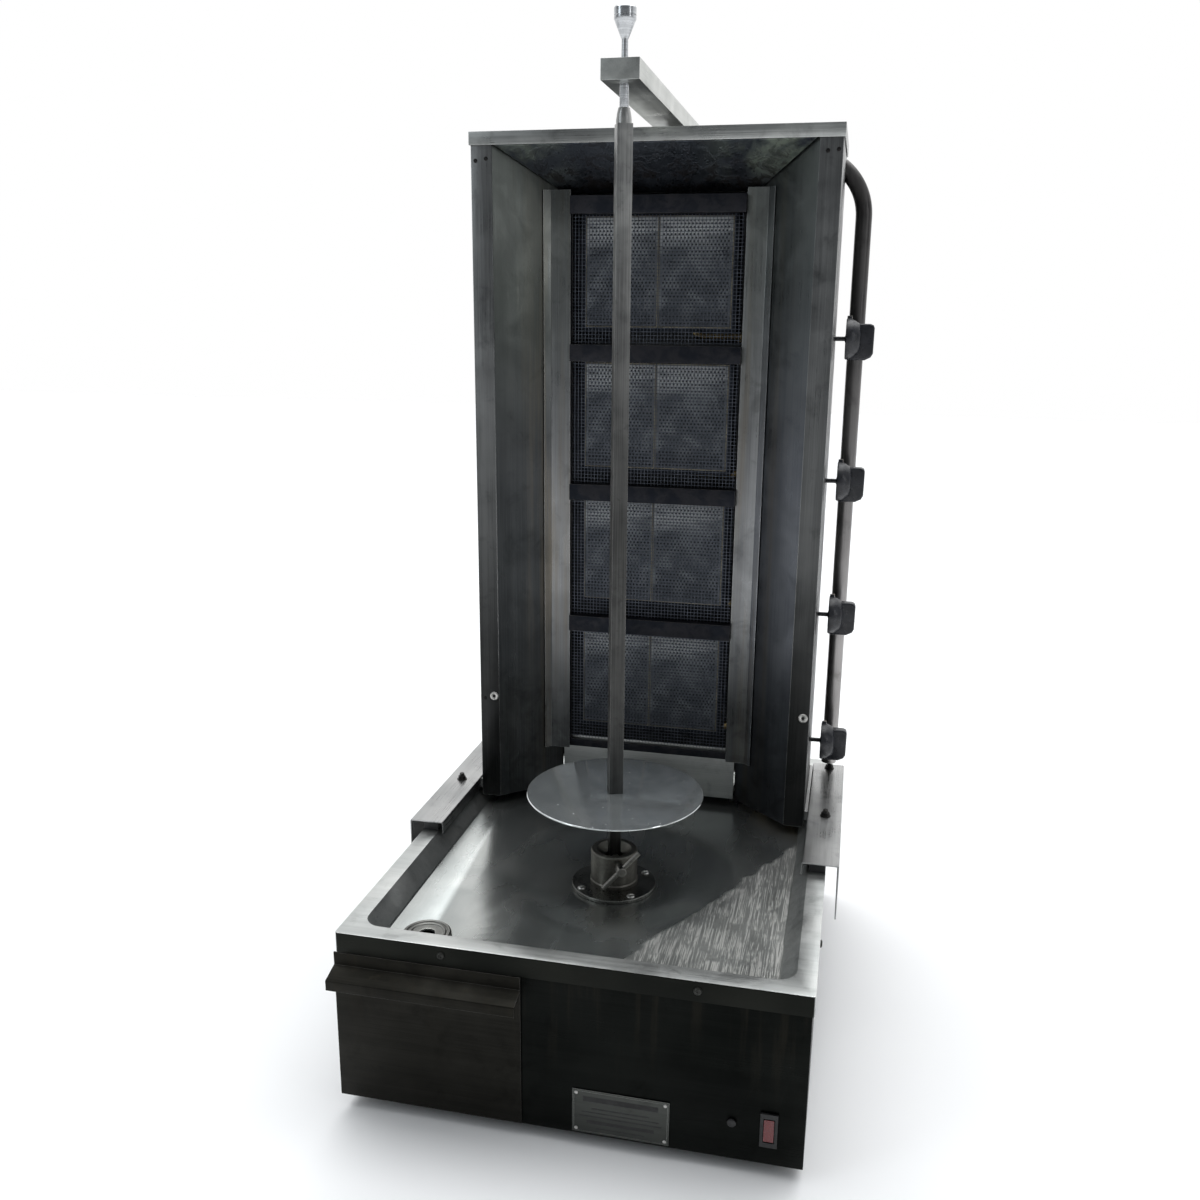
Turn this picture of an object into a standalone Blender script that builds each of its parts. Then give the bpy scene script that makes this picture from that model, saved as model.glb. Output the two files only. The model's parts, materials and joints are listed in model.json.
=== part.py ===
"""Vertical rotisserie broiler: a gas burner tower on slides over a drip-tray base with a driven skewer.

Metres, +Z up, +X to the machine's right as the cook faces it, -Y towards the cook.
The origin is on the standing surface, under the middle of the machine's footprint.
"""
import math

import bmesh
import bpy
from mathutils import Matrix, Vector

# ---- driving dimensions (metres) -------------------------------------------------------------
GAP = 0.0003            # clearance left between pieces that touch
SHEET = 0.0015          # body sheet thickness
BASE_W = 0.490          # over the tray's skirt
BASE_D = 0.600
BASE_H = 0.1955         # underside of the base to the top of the rim
FOOT_H = 0.015
HANDLE_PROUD = 0.0215   # drawer handle in front of the skirt
COLUMN_Y = (0.6016, 0.6305)   # behind the skirt's front
SKEWER_Y = 0.235        # skewer axis behind the skirt's front
SKEWER_SIDE = 0.016
SKEWER_TURN = math.radians(22.4)   # how far round the spit stands at rest
DISC_R = 0.1025
TOWER_W = 0.4264
TOWER_Y = (0.3837, 0.5515)
TOWER_Z = (0.1877, 1.0035)    # flange bottom and top above the base's underside
BURNERS = 4
BURNER_PITCH = 0.173
BURNER_TOP = 0.8645     # middle of the top burner
PLAQUE_PAIR = (0.185, 0.132)
SADDLE_X = (0.2173, 0.2602)
SADDLE_Y = (0.2439, 0.5515)
KNOB_OUT = 0.2602

FRONT = HANDLE_PROUD - (HANDLE_PROUD + COLUMN_Y[1]) / 2    # y of the skirt's front
HALF_W = BASE_W / 2
RIM_Z = BASE_H
FLOOR_Z = RIM_Z - 0.020
DISH_Z = FLOOR_Z - 0.016
DISC_Z = 0.2782
SOCKET_Z = 0.2058
ARM_Z = (1.0360, 1.0558)
SPIT_X, SPIT_Y = 0.0, FRONT + SKEWER_Y

COLOURS = {
    "dark_steel": ((0.115, 0.112, 0.105), 0.38, 1.0),
    "bright_steel": ((0.42, 0.41, 0.39), 0.28, 1.0),
    "tower_steel": ((0.20, 0.195, 0.18), 0.34, 1.0),
    "polished_steel": ((0.52, 0.53, 0.54), 0.12, 1.0),
    "sooty_steel": ((0.045, 0.036, 0.030), 0.60, 0.8),
    "mesh_wire": ((0.10, 0.10, 0.105), 0.50, 1.0),
    "burner_iron": ((0.09, 0.095, 0.105), 0.70, 0.6),
    "brass": ((0.55, 0.42, 0.18), 0.35, 1.0),
    "motor_paint": ((0.05, 0.055, 0.06), 0.50, 0.3),
    "black_plastic": ((0.012, 0.012, 0.014), 0.32, 0.0),
    "red_plastic": ((0.45, 0.015, 0.012), 0.30, 0.0),
    "rubber": ((0.02, 0.02, 0.02), 0.80, 0.0),
    "plate_metal": ((0.62, 0.62, 0.60), 0.35, 1.0),
}


# ---- helpers -----------------------------------------------------------------------------------
def material(name):
    """The shared Principled material for one finish."""
    found = bpy.data.materials.get(name)
    if found:
        return found
    colour, rough, metal = COLOURS[name]
    made = bpy.data.materials.new(name)
    made.use_nodes = True
    shader = made.node_tree.nodes["Principled BSDF"]
    shader.inputs["Base Color"].default_value = (*colour, 1.0)
    shader.inputs["Roughness"].default_value = rough
    shader.inputs["Metallic"].default_value = metal
    made.diffuse_color = (*colour, 1.0)
    return made


def y(distance):
    """A distance behind the skirt's front, as a world y."""
    return FRONT + distance


def z(height):
    """A height above the base's underside, as a world z."""
    return FOOT_H + height


def finish(name, bm, finish_name, origin=(0, 0, 0), smooth=None):
    """Turn a bmesh drawn in world space into a named object whose origin is at origin."""
    bmesh.ops.recalc_face_normals(bm, faces=bm.faces)
    bmesh.ops.translate(bm, verts=bm.verts, vec=-Vector(origin))
    mesh = bpy.data.meshes.new(name)
    bm.to_mesh(mesh)
    bm.free()
    if smooth is not None:
        mesh.shade_smooth()
        mesh.set_sharp_from_angle(angle=math.radians(smooth))
    obj = bpy.data.objects.new(name, mesh)
    obj.location = origin
    obj.data.materials.append(material(finish_name))
    bpy.context.scene.collection.objects.link(obj)
    return obj


def add_box(bm, low, high):
    """A box between two corners."""
    size = [b - a for a, b in zip(low, high)]
    middle = [(a + b) / 2 for a, b in zip(low, high)]
    place = Matrix.Translation(middle) @ Matrix.Diagonal((*size, 1.0))
    return bmesh.ops.create_cube(bm, size=1.0, matrix=place)["verts"]


def add_prism(bm, outline, axis, low, high):
    """An outline of (a, b) points drawn across axis and extruded from low to high along it."""
    order = {"X": lambda a, b, c: (c, a, b), "Y": lambda a, b, c: (a, c, b), "Z": lambda a, b, c: (a, b, c)}[axis]
    verts = [bm.verts.new(order(a, b, low)) for a, b in outline]
    face = bm.faces.new(verts)
    grown = bmesh.ops.extrude_face_region(bm, geom=[face])["geom"]
    shift = Vector(order(0, 0, high - low))
    bmesh.ops.translate(bm, verts=[g for g in grown if isinstance(g, bmesh.types.BMVert)], vec=shift)


def add_turned(bm, profile, centre, axis="Z", steps=24):
    """A solid of revolution; profile is a closed loop of (radius, height), radius 0 on the axis."""
    rings = []
    for radius, height in profile:
        count = 1 if radius < 1e-9 else steps
        ring = []
        for i in range(count):
            a = 2 * math.pi * i / steps
            p = Vector((radius * math.cos(a), radius * math.sin(a), height))
            if axis == "X":
                p = Vector((p.z, p.x, p.y))
            elif axis == "Y":
                p = Vector((p.y, p.z, p.x))
            ring.append(bm.verts.new(p + Vector(centre)))
        rings.append(ring)
    closed = len(rings[0]) > 1
    pairs = zip(rings, rings[1:] + rings[:1]) if closed else zip(rings, rings[1:])
    for lower, upper in pairs:
        for i in range(steps):
            j = (i + 1) % steps
            if len(lower) == 1:
                bm.faces.new((lower[0], upper[i], upper[j]))
            elif len(upper) == 1:
                bm.faces.new((lower[i], lower[j], upper[0]))
            else:
                bm.faces.new((lower[i], lower[j], upper[j], upper[i]))


def add_tube(bm, path, radius, steps=12):
    """A round bar swept along a path of points, closed at both ends."""
    points = [Vector(p) for p in path]
    rings = []
    side = None
    for i, point in enumerate(points):
        ahead = (points[min(i + 1, len(points) - 1)] - points[max(i - 1, 0)]).normalized()
        if side is None:
            side = ahead.cross(Vector((0.31, 0.92, 0.24))).normalized()
        side = (side - ahead * side.dot(ahead)).normalized()
        up = ahead.cross(side)
        turn = [2 * math.pi * k / steps for k in range(steps)]
        rings.append([bm.verts.new(point + radius * (side * math.cos(t) + up * math.sin(t))) for t in turn])
    for lower, upper in zip(rings, rings[1:]):
        for k in range(steps):
            bm.faces.new((lower[k], lower[(k + 1) % steps], upper[(k + 1) % steps], upper[k]))
    bm.faces.new(rings[0])
    bm.faces.new(rings[-1])


def boxes(name, spans, finish_name, origin=(0, 0, 0)):
    """An object made of one box, or of several boxes united."""
    bm = bmesh.new()
    add_box(bm, *spans[0])
    obj = finish(name, bm, finish_name, origin)
    for i, span in enumerate(spans[1:]):
        extra = bmesh.new()
        add_box(extra, *span)
        combine(obj, finish(f"{name}_part{i}", extra, finish_name), "UNION")
    return obj


def combine(obj, tool, operation="DIFFERENCE"):
    """Cut or unite obj with a tool that is left out of the model."""
    tool.hide_render = True
    tool.display_type = "WIRE"
    modifier = obj.modifiers.new(operation.lower(), "BOOLEAN")
    modifier.object = tool
    modifier.operation = operation
    modifier.solver = "EXACT"


def cut_box(obj, low, high):
    bm = bmesh.new()
    add_box(bm, low, high)
    combine(obj, finish(f"{obj.name}_cutter{len(obj.modifiers)}", bm, "dark_steel"))


def cut_round(obj, centre, radius, length, axis="Z", steps=24):
    """A straight round hole centred on centre."""
    bm = bmesh.new()
    half = length / 2
    add_turned(bm, [(0, -half), (radius, -half), (radius, half), (0, half)], centre, axis, steps)
    combine(obj, finish(f"{obj.name}_cutter{len(obj.modifiers)}", bm, "dark_steel"))


def unite_turned(obj, profile, centre, axis="Z", steps=16):
    bm = bmesh.new()
    add_turned(bm, profile, centre, axis, steps)
    combine(obj, finish(f"{obj.name}_boss{len(obj.modifiers)}", bm, "dark_steel"), "UNION")


def rounded_rect(x0, x1, y0, y1, radius, height, per_corner=7):
    """Points round a rectangle with rounded corners, anticlockwise from the +X+Y corner."""
    points = []
    corners = ((x1, y1, 0), (x0, y1, 90), (x0, y0, 180), (x1, y0, 270))
    for cx, cy, start in corners:
        mx = cx - radius if cx == x1 else cx + radius
        my = cy - radius if cy == y1 else cy + radius
        for i in range(per_corner + 1):
            a = math.radians(start + 90 * i / per_corner)
            points.append((mx + radius * math.cos(a), my + radius * math.sin(a), height))
    return points


def circle(cx, cy, radius, height, count):
    """A ring of points that pairs up with rounded_rect's."""
    start = math.pi / 4 - math.pi * (count / 4 - 1) / count
    return [(cx + radius * math.cos(start + 2 * math.pi * i / count),
             cy + radius * math.sin(start + 2 * math.pi * i / count), height) for i in range(count)]


# ---- base ----------------------------------------------------------------------------------------
def base():
    wall_x, face_y, back_y = HALF_W - 0.002, y(0.002), y(BASE_D - 0.002)
    top = z(RIM_Z - SHEET - GAP)
    shell = bmesh.new()
    outer = [(-wall_x, face_y), (wall_x, face_y), (wall_x, back_y), (-wall_x, back_y)]
    inner = [(-wall_x + SHEET, face_y + SHEET), (wall_x - SHEET, face_y + SHEET),
             (wall_x - SHEET, back_y - SHEET), (-wall_x + SHEET, back_y - SHEET)]
    rings = [[shell.verts.new((px, py, h)) for px, py in ring]
             for ring, h in ((outer, z(0)), (outer, top), (inner, top), (inner, z(0)))]
    for a, b in zip(rings, rings[1:] + rings[:1]):
        for i in range(4):
            shell.faces.new((a[i], a[(i + 1) % 4], b[(i + 1) % 4], b[i]))
    shell = finish("base_shell", shell, "dark_steel")
    cut_box(shell, (DRAWER_X[0] + 0.0045, face_y - 0.01, z(0.010)), (-0.0479, face_y + 0.01, z(0.1712)))
    cut_box(shell, (0.2009, face_y - 0.01, z(0.0240)), (0.2146, face_y + 0.01, z(0.0570)))    # rocker switch
    cut_round(shell, (0.171, face_y, z(0.0425)), 0.0033, 0.02, "Y", 16)                       # plug
    cut_round(shell, (0.180, back_y, z(0.050)), 0.0083, 0.02, "Y", 16)                        # cable gland

    edge = SHEET + GAP
    boxes("base_floor", [((-wall_x + edge, face_y + edge, z(0.0002)),
                          (wall_x - edge, back_y - edge, z(0.0017)))], "dark_steel")
    for i, (sx, fy) in enumerate(((-1, 0.055), (1, 0.055), (-1, 0.545), (1, 0.545))):
        bm = bmesh.new()
        add_turned(bm, [(0, 0), (0.014, 0), (0.0165, 0.002), (0.0180, FOOT_H - GAP), (0, FOOT_H - GAP)],
                   (sx * 0.195, y(fy), 0), steps=20)
        finish(f"foot_{i + 1}", bm, "rubber", smooth=40)

    bm = bmesh.new()
    add_box(bm, (0.0085, y(0.0007), z(0.0030)), (0.1087, y(0.0017), z(0.0534)))
    finish("name_plate", bm, "plate_metal")
    bm = bmesh.new()
    add_turned(bm, [(0, -0.0010), (0.0028, -0.0010), (0.0045, -0.0002), (0.0045, 0.0017), (0.0030, 0.0017),
                    (0.0030, 0.0060), (0, 0.0060)], (0.171, y(0), z(0.0425)), "Y", 16)
    finish("panel_plug", bm, "black_plastic", smooth=40)
    bm = bmesh.new()
    add_turned(bm, [(0, 0.0160), (0.0070, 0.0160), (0.0110, 0.0120), (0.0110, 0.0003), (0.0080, 0.0003),
                    (0.0080, -0.0080), (0, -0.0080)], (0.180, back_y, z(0.050)), "Y", 16)
    finish("cable_gland", bm, "black_plastic", smooth=40)


def tray():
    """Pressed drip tray: skirt, flat rim, sloped sides, and a floor that dishes gently down to the drive."""
    count = 32
    dish = []
    for k in range(7):                   # an S-curve from the flat floor down to the flange's seat
        t = k / 6
        fall = t * t * (3 - 2 * t)
        dish.append(circle(SPIT_X, SPIT_Y, 0.150 - 0.088 * t, z(FLOOR_Z + (DISH_Z - FLOOR_Z) * fall), count))
    loops = [
        rounded_rect(-HALF_W, HALF_W, y(0), y(BASE_D), 0.003, z(RIM_Z - 0.0224)),
        rounded_rect(-HALF_W, HALF_W, y(0), y(BASE_D), 0.003, z(RIM_Z)),
        rounded_rect(-HALF_W + 0.020, HALF_W - 0.020, y(0.0215), y(BASE_D - 0.022), 0.020, z(RIM_Z)),
        rounded_rect(-0.207, 0.207, y(0.0265), y(BASE_D - 0.030), 0.014, z(FLOOR_Z)),
        *dish,
        circle(SPIT_X, SPIT_Y, 0.0220, z(DISH_Z), count),
    ]
    bm = bmesh.new()
    top = [[bm.verts.new(p) for p in loop] for loop in loops]
    for outer, inner in zip(top, top[1:]):
        for i in range(count):
            j = (i + 1) % count
            bm.faces.new((outer[i], outer[j], inner[j], inner[i]))
    sheet = finish("drip_tray", bm, "bright_steel", smooth=30)
    if sheet.data.polygons[count * 3 + 2].normal.z < 0:
        sheet.data.flip_normals()
    solid = sheet.modifiers.new("sheet", "SOLIDIFY")
    solid.thickness = SHEET
    solid.offset = -1.0
    solid.use_even_offset = True
    drain = (DRAIN[0], y(DRAIN[1]), z(FLOOR_Z))
    cut_round(sheet, drain, 0.0085, 0.02)
    bm = bmesh.new()
    add_turned(bm, [(0.0088, GAP), (0.0262, GAP), (0.0262, 0.0012), (0.0246, 0.0026), (0.0228, 0.0016),
                    (0.0212, 0.0024), (0.0100, 0.0012), (0.0088, 0.0010)], drain, steps=32)
    ring = finish("drain_ring", bm, "bright_steel", smooth=50)
    # the ring's front edge is trimmed straight where the tray's front wall rises
    cut_box(ring, (drain[0] - 0.04, drain[1] - 0.04, drain[2] - 0.01),
            (drain[0] + 0.04, y(0.0268), drain[2] + 0.01))


DRAWER_X = (-0.2475, -0.0455)
DRAIN = (-0.164, 0.0515)


def drawer():
    bm = bmesh.new()
    t = SHEET
    front, proud = y(0.0002), y(-HANDLE_PROUD)
    outline = [(front + t, z(0.0010)), (front + t, z(0.1724)), (front, z(0.1724)), (front, z(0.1580)),
               (proud + 0.0008, z(0.1520)), (proud, z(0.1512)), (proud, z(0.1405)), (proud + t, z(0.1405)),
               (proud + t, z(0.1504)), (front, z(0.1564)), (front, z(0.0010))]
    add_prism(bm, outline, "X", *DRAWER_X)
    finish("drawer_front", bm, "dark_steel")

    x0, x1, y0, y1, z0, z1 = -0.2360, -0.0640, y(0.0042), y(0.4200), z(0.0120), z(0.1200)
    pan = boxes("drawer_pan", [((x0, y0, z0), (x1, y1, z1))], "dark_steel")
    cut_box(pan, (x0 + t, y0 + t, z0 + t), (x1 - t, y1 - t, z1 + 0.01))
    for side, outer in (("left", x0 - 0.0030), ("right", x1 + 0.0030)):
        inner = outer + 0.0160 if side == "left" else outer - 0.0160
        wall = outer + 0.0020 if side == "left" else outer - 0.0020
        boxes(f"drawer_rail_{side}",
              [((min(outer, inner), y(0.006), z(0.0020)), (max(outer, inner), y(0.440), z(0.0117))),
               ((min(outer, wall), y(0.006), z(0.0020)), (max(outer, wall), y(0.440), z(0.0220)))],
              "dark_steel")


# ---- drive and spit ------------------------------------------------------------------------------
def drive(spin):
    cx, cy = SPIT_X, SPIT_Y
    bm = bmesh.new()
    add_box(bm, (cx - 0.045, cy - 0.045, z(0.0750)), (cx + 0.045, cy + 0.045, z(0.1250)))
    motor = finish("gearmotor", bm, "motor_paint")
    unite_turned(motor, [(0, 0.020), (0.036, 0.020), (0.038, 0.024), (0.038, 0.0755), (0, 0.0755)],
                 (cx, cy, z(0)), steps=24)

    web, leg, lip = z(0.1253), 0.036, 0.052
    under = z(DISH_Z - SHEET - GAP)
    t = 0.002
    bm = bmesh.new()
    half = [(leg, web), (leg, under - t), (lip, under - t), (lip, under), (leg - t, under), (leg - t, web + t)]
    outline = half + [(-a, b) for a, b in reversed(half)]
    add_prism(bm, outline, "Y", cy - 0.030, cy + 0.030)
    bracket = finish("motor_bracket", bm, "dark_steel")
    cut_round(bracket, (cx, cy, web), 0.012, 0.02)

    bm = bmesh.new()
    add_turned(bm, [(0.0102, DISH_Z - 0.016), (0.0180, DISH_Z - 0.016), (0.0180, DISH_Z + GAP),
                    (0.0500, DISH_Z + GAP), (0.0500, DISH_Z + 0.0033), (0.0492, DISH_Z + 0.0041),
                    (0.0102, DISH_Z + 0.0041)], (cx, cy, z(0)), steps=32)
    finish("bearing_flange", bm, "tower_steel", smooth=35)

    base_z = DISH_Z + 0.0044
    bm = bmesh.new()
    add_turned(bm, [(0, 0.1256), (0.0085, 0.1256), (0.0085, base_z - GAP), (0, base_z - GAP)],
               (cx, cy, z(0)), steps=16)
    turning(finish("drive_shaft", bm, "polished_steel", (cx, cy, z(0)), smooth=40), spin)

    bm = bmesh.new()
    add_turned(bm, [(0, base_z), (0.0283, base_z), (0.0285, base_z + 0.0050), (0.0275, base_z + 0.0065),
                    (0.0275, SOCKET_Z - 0.0015), (0.0262, SOCKET_Z), (0.0205, SOCKET_Z),
                    (0.0175, SOCKET_Z - 0.0040), (0.0100, SOCKET_Z - 0.0080), (0.0100, base_z + 0.0060),
                    (0, base_z + 0.0060)], (cx, cy, z(0)), steps=32)
    socket = finish("drive_socket", bm, "tower_steel", (cx, cy, z(0)), smooth=35)
    turning(socket, spin)
    # the clamp screw runs in from the front of the socket, square to the spigot's flat
    bm = bmesh.new()
    add_turned(bm, [(0, -0.035), (0.00435, -0.035), (0.00435, -0.005), (0, -0.005)],
               (cx, cy, z(SCREW_Z)), "Y", 16)
    tool = finish("socket_thread", bm, "dark_steel", (cx, cy, z(0)))
    turning(tool, spin)
    combine(socket, tool)

    bm = bmesh.new()
    add_turned(bm, [(0, -SCREW_HEAD), (0.0046, -SCREW_HEAD), (0.0058, -SCREW_HEAD + 0.001),
                    (0.0058, -0.0360), (0.0040, -0.0345), (0.0040, -0.0075), (0, -0.0070)],
               (cx, cy, z(SCREW_Z)), "Y", 16)
    screw = finish("tommy_screw", bm, "tower_steel", (cx, cy, z(SCREW_Z)), smooth=40)
    turning(screw, spin)
    lean = math.radians(45)
    middle = Vector((cx, cy - BAR_OUT, z(SCREW_Z)))
    along = Vector((math.cos(lean), 0, math.sin(lean)))
    bm = bmesh.new()
    add_tube(bm, [middle - along * 0.032, middle + along * 0.032], 0.0033, 12)
    hole = finish("screw_cross_hole", bm, "dark_steel", (cx, cy, z(SCREW_Z)))
    turning(hole, spin)
    combine(screw, hole)
    bm = bmesh.new()
    ends = [-0.0290, -0.0282, -0.0250, 0.0250, 0.0282, 0.0290]
    add_tube(bm, [middle + along * e for e in ends], 0.0029, 12)
    turning(finish("tommy_bar", bm, "tower_steel", (cx, cy, z(SCREW_Z)), smooth=40), spin)


SCREW_Z = 0.1985
SCREW_HEAD = 0.0495
BAR_OUT = 0.0432


def spit(spin):
    cx, cy = SPIT_X, SPIT_Y
    half, spigot = SKEWER_SIDE / 2, 0.0066
    shoulder, top = 0.2600, 0.9990
    bm = bmesh.new()
    add_box(bm, (cx - half, cy - half, z(shoulder)), (cx + half, cy + half, z(top)))
    skewer = finish("skewer", bm, "polished_steel", (cx, cy, z(0)))
    turning(skewer, spin)
    bm = bmesh.new()
    add_box(bm, (cx - spigot, cy - spigot, z(0.1720)), (cx + spigot, cy + spigot, z(shoulder + 0.002)))
    tail = finish("skewer_spigot", bm, "polished_steel", (cx, cy, z(0)))
    turning(tail, spin)
    combine(skewer, tail, "UNION")
    bm = bmesh.new()
    add_turned(bm, [(0, top - 0.002), (0.0079, top - 0.002), (0.0079, top + 0.004), (0.0072, top + 0.009),
                    (0.0058, top + 0.0150), (0, top + 0.0150)], (cx, cy, z(0)), steps=20)
    nose = finish("skewer_nose", bm, "polished_steel", (cx, cy, z(0)))
    turning(nose, spin)
    combine(skewer, nose, "UNION")
    bm = bmesh.new()
    add_turned(bm, [(0, top - 0.0010), (0.00515, top - 0.0010), (0.00515, top + 0.0200), (0, top + 0.0200)],
               (cx, cy, z(0)), steps=20)
    bore = finish("skewer_bore", bm, "polished_steel", (cx, cy, z(0)))
    turning(bore, spin)
    combine(skewer, bore)

    for name, profile in (
            ("meat_disc", [(0, DISC_Z - 0.0020), (DISC_R - 0.0006, DISC_Z - 0.0020), (DISC_R, DISC_Z - 0.0014),
                           (DISC_R, DISC_Z - 0.0006), (DISC_R - 0.0006, DISC_Z), (0, DISC_Z)]),
            ("disc_collar", [(0, 0.2610), (0.0150, 0.2610), (0.0160, 0.2620), (0.0160, DISC_Z - 0.0023),
                             (0, DISC_Z - 0.0023)])):
        bm = bmesh.new()
        add_turned(bm, profile, (cx, cy, z(0)), steps=64 if name == "meat_disc" else 24)
        piece = finish(name, bm, "polished_steel", (cx, cy, z(0)), smooth=40)
        turning(piece, spin)
        bm = bmesh.new()
        hole = half + GAP
        add_box(bm, (cx - hole, cy - hole, z(0.2500)), (cx + hole, cy + hole, z(0.2900)))
        square = finish(f"{name}_hole", bm, "polished_steel", (cx, cy, z(0)))
        turning(square, spin)
        combine(piece, square)


def turning(obj, spin):
    """Hang a piece on the spit's axis, keeping the origin it was given, so that it turns with it."""
    obj.parent = spin
    obj.matrix_parent_inverse = Matrix.Translation(-Vector(spin.location))


def arm():
    half = 0.0195
    wall = 0.002
    y0, y1 = y(COLUMN_Y[0]), y(COLUMN_Y[1])
    column = boxes("rear_column", [((-half, y0, z(0.020)), (half, y1, z(ARM_Z[0] - GAP))),
                                   ((-0.048, y(0.5983), z(0.030)), (0.048, y0 + 0.0005, z(0.165)))],
                   "tower_steel")
    cut_box(column, (-half + wall, y0 + wall, z(0.010)), (half - wall, y1 - wall, z(ARM_Z[0] - wall)))
    arm_y0 = y(0.2129)
    beam = boxes("top_arm", [((-half, arm_y0, z(ARM_Z[0])), (half, y1, z(ARM_Z[1])))], "bright_steel")
    cut_box(beam, (-half + wall, arm_y0 + wall, z(ARM_Z[0] + wall)), (half - wall, y1 + 0.01, z(ARM_Z[1] - wall)))
    cut_round(beam, (SPIT_X, SPIT_Y, z(ARM_Z[0] + 0.01)), 0.0051, 0.05, steps=20)

    bm = bmesh.new()
    add_turned(bm, [(0, 0.9992), (0.0036, 0.9992), (0.0046, 1.0010), (0.0047, 1.0575), (0.0034, 1.0590),
                    (0.0032, 1.0765), (0.0108, 1.0935), (0.0111, 1.0944), (0.0111, 1.1046), (0.0101, 1.1056),
                    (0, 1.1056)], (SPIT_X, SPIT_Y, z(0)), steps=20)
    finish("top_pin", bm, "polished_steel", (SPIT_X, SPIT_Y, z(ARM_Z[1])), smooth=35)


# ---- burner tower --------------------------------------------------------------------------------
WING_REAR = (0.118, 0.4500)
CEILING_DROP = 0.72           # fall of the ceiling per metre of depth
FLANGE_W = 0.0255
TUBE_X, TUBE_Y, TUBE_R = 0.2385, 0.5365, 0.010
TUBE_FOOT, TUBE_HOLE = 0.2195, 0.9873
VALVE_Y = 0.483


def burner_z(i):
    return BURNER_TOP - BURNER_PITCH * i


def valve_z(i):
    return burner_z(i) - 0.0759


def casing():
    half, t = TOWER_W / 2, 0.0015
    y0, y1 = y(TOWER_Y[0]), y(TOWER_Y[1])
    z0, z1 = z(TOWER_Z[0]), z(TOWER_Z[1] + 0.0120)
    lip = half - FLANGE_W
    left = [(-lip, y0), (-half, y0), (-half, y1), (half, y1), (half, y0), (lip, y0)]
    inside = [(lip, y0 + t), (half - t, y0 + t), (half - t, y1 - t), (-half + t, y1 - t),
              (-half + t, y0 + t), (-lip, y0 + t)]
    bm = bmesh.new()
    add_prism(bm, left + inside, "Z", z0, z1)
    shell = finish("tower_casing", bm, "tower_steel")
    cut_box(shell, (-0.170, y1 - 0.01, z(0.235)), (0.170, y1 + 0.01, z(0.955)))     # service opening
    for i in range(BURNERS):
        cut_round(shell, (half, y(VALVE_Y), z(valve_z(i))), 0.0058, 0.02, "X", 16)
    cut_box(shell, (half - 0.01, y(TUBE_Y) - TUBE_R - GAP, z(TUBE_HOLE - 0.0155)),
            (half + 0.01, y(TUBE_Y) + TUBE_R + GAP, z(TUBE_HOLE + 0.0155)))
    boxes("tower_back_cover", [((-0.180, y1 + GAP, z(0.225)), (0.180, y1 + GAP + 0.0012, z(0.965)))],
          "tower_steel")

    over = 0.0018
    cap = boxes("tower_cap", [((-half - over, y0 - over, z(TOWER_Z[1])),
                               (half + over, y1 + over + 0.0015, z(1.0183)))], "tower_steel")
    cut_box(cap, (-half - over + 0.0012, y0 - over + 0.0012, z(0.9)),
            (half + over - 0.0012, y1 + over + 0.0003, z(1.0171)))

    rear_x, rear_y = WING_REAR
    drop = CEILING_DROP * (rear_y - TOWER_Y[0])
    bm = bmesh.new()
    front_y, back_y = y(TOWER_Y[0]) + t + GAP, y(rear_y)
    front_z, back_z = z(TOWER_Z[1] - 0.0008), z(TOWER_Z[1]) - drop
    edge = lambda yy: lip - 0.0022 - (lip - rear_x) * (yy - y(TOWER_Y[0])) / (rear_y - TOWER_Y[0])
    plan = [(-edge(front_y), front_y, front_z), (edge(front_y), front_y, front_z),
            (edge(back_y), back_y, back_z), (-edge(back_y), back_y, back_z)]
    lower = [bm.verts.new(p) for p in plan]
    upper = [bm.verts.new((a, b, c + 0.0013)) for a, b, c in plan]
    bm.faces.new(lower)
    bm.faces.new(upper)
    for i in range(4):
        j = (i + 1) % 4
        bm.faces.new((lower[i], lower[j], upper[j], upper[i]))
    finish("ceiling_panel", bm, "sooty_steel")

    for side, s in (("left", -1), ("right", 1)):
        # a wing runs back and inward from the flange to the burner plane
        run = Vector((rear_x - lip, rear_y - TOWER_Y[0]))
        across = Vector((run.y, -run.x)).normalized() * 0.0012
        a = Vector((lip + 0.0004, y(TOWER_Y[0]) + t + GAP))
        b = Vector((rear_x, y(rear_y)))
        bm = bmesh.new()
        outline = [a, b, b + across, a + across]
        add_prism(bm, [(s * p.x, p.y) for p in outline], "Z", z0, z1 - 0.003)
        finish(f"wing_{side}", bm, "tower_steel")
        # the angle strip holds the mesh guards' edge and laps the wing
        inner, corner, lap = 0.106, 0.1305, 0.0105
        front = y(0.4362)
        slope = run.normalized()
        start = Vector((corner, front))
        end = start - slope * lap
        offset = Vector((slope.y, -slope.x)) * 0.0011
        outline = [Vector((inner, front)), start, end, end + offset, start + offset * 0.6 + Vector((0, 0.0011)),
                   Vector((inner, front + 0.0011))]
        bm = bmesh.new()
        add_prism(bm, [(s * p.x, p.y) for p in outline], "Z", z(0.2450), z(0.9590))
        finish(f"strip_{side}", bm, "tower_steel")

    boxes("lower_back_panel", [((-rear_x + 0.0015, y(0.4488), z(TOWER_Z[0])),
                                (rear_x - 0.0015, y(0.4500), z(0.2600)))], "tower_steel")


def guard_tube():
    """Side guard: a round tube that stands on a saddle bolt and bends in through the casing at the top."""
    high, bend, steps = 0.9320, 0.073, 8
    sweep = math.radians(54)
    points = [(TUBE_X, y(TUBE_Y), z(TUBE_FOOT))]
    for k in range(steps + 1):
        a = sweep * k / steps
        points.append((TUBE_X - bend * (1 - math.cos(a)), y(TUBE_Y), z(high + bend * math.sin(a))))
    bm = bmesh.new()
    add_tube(bm, points, TUBE_R, 16)
    finish("side_guard_tube", bm, "tower_steel", smooth=40)


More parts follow.
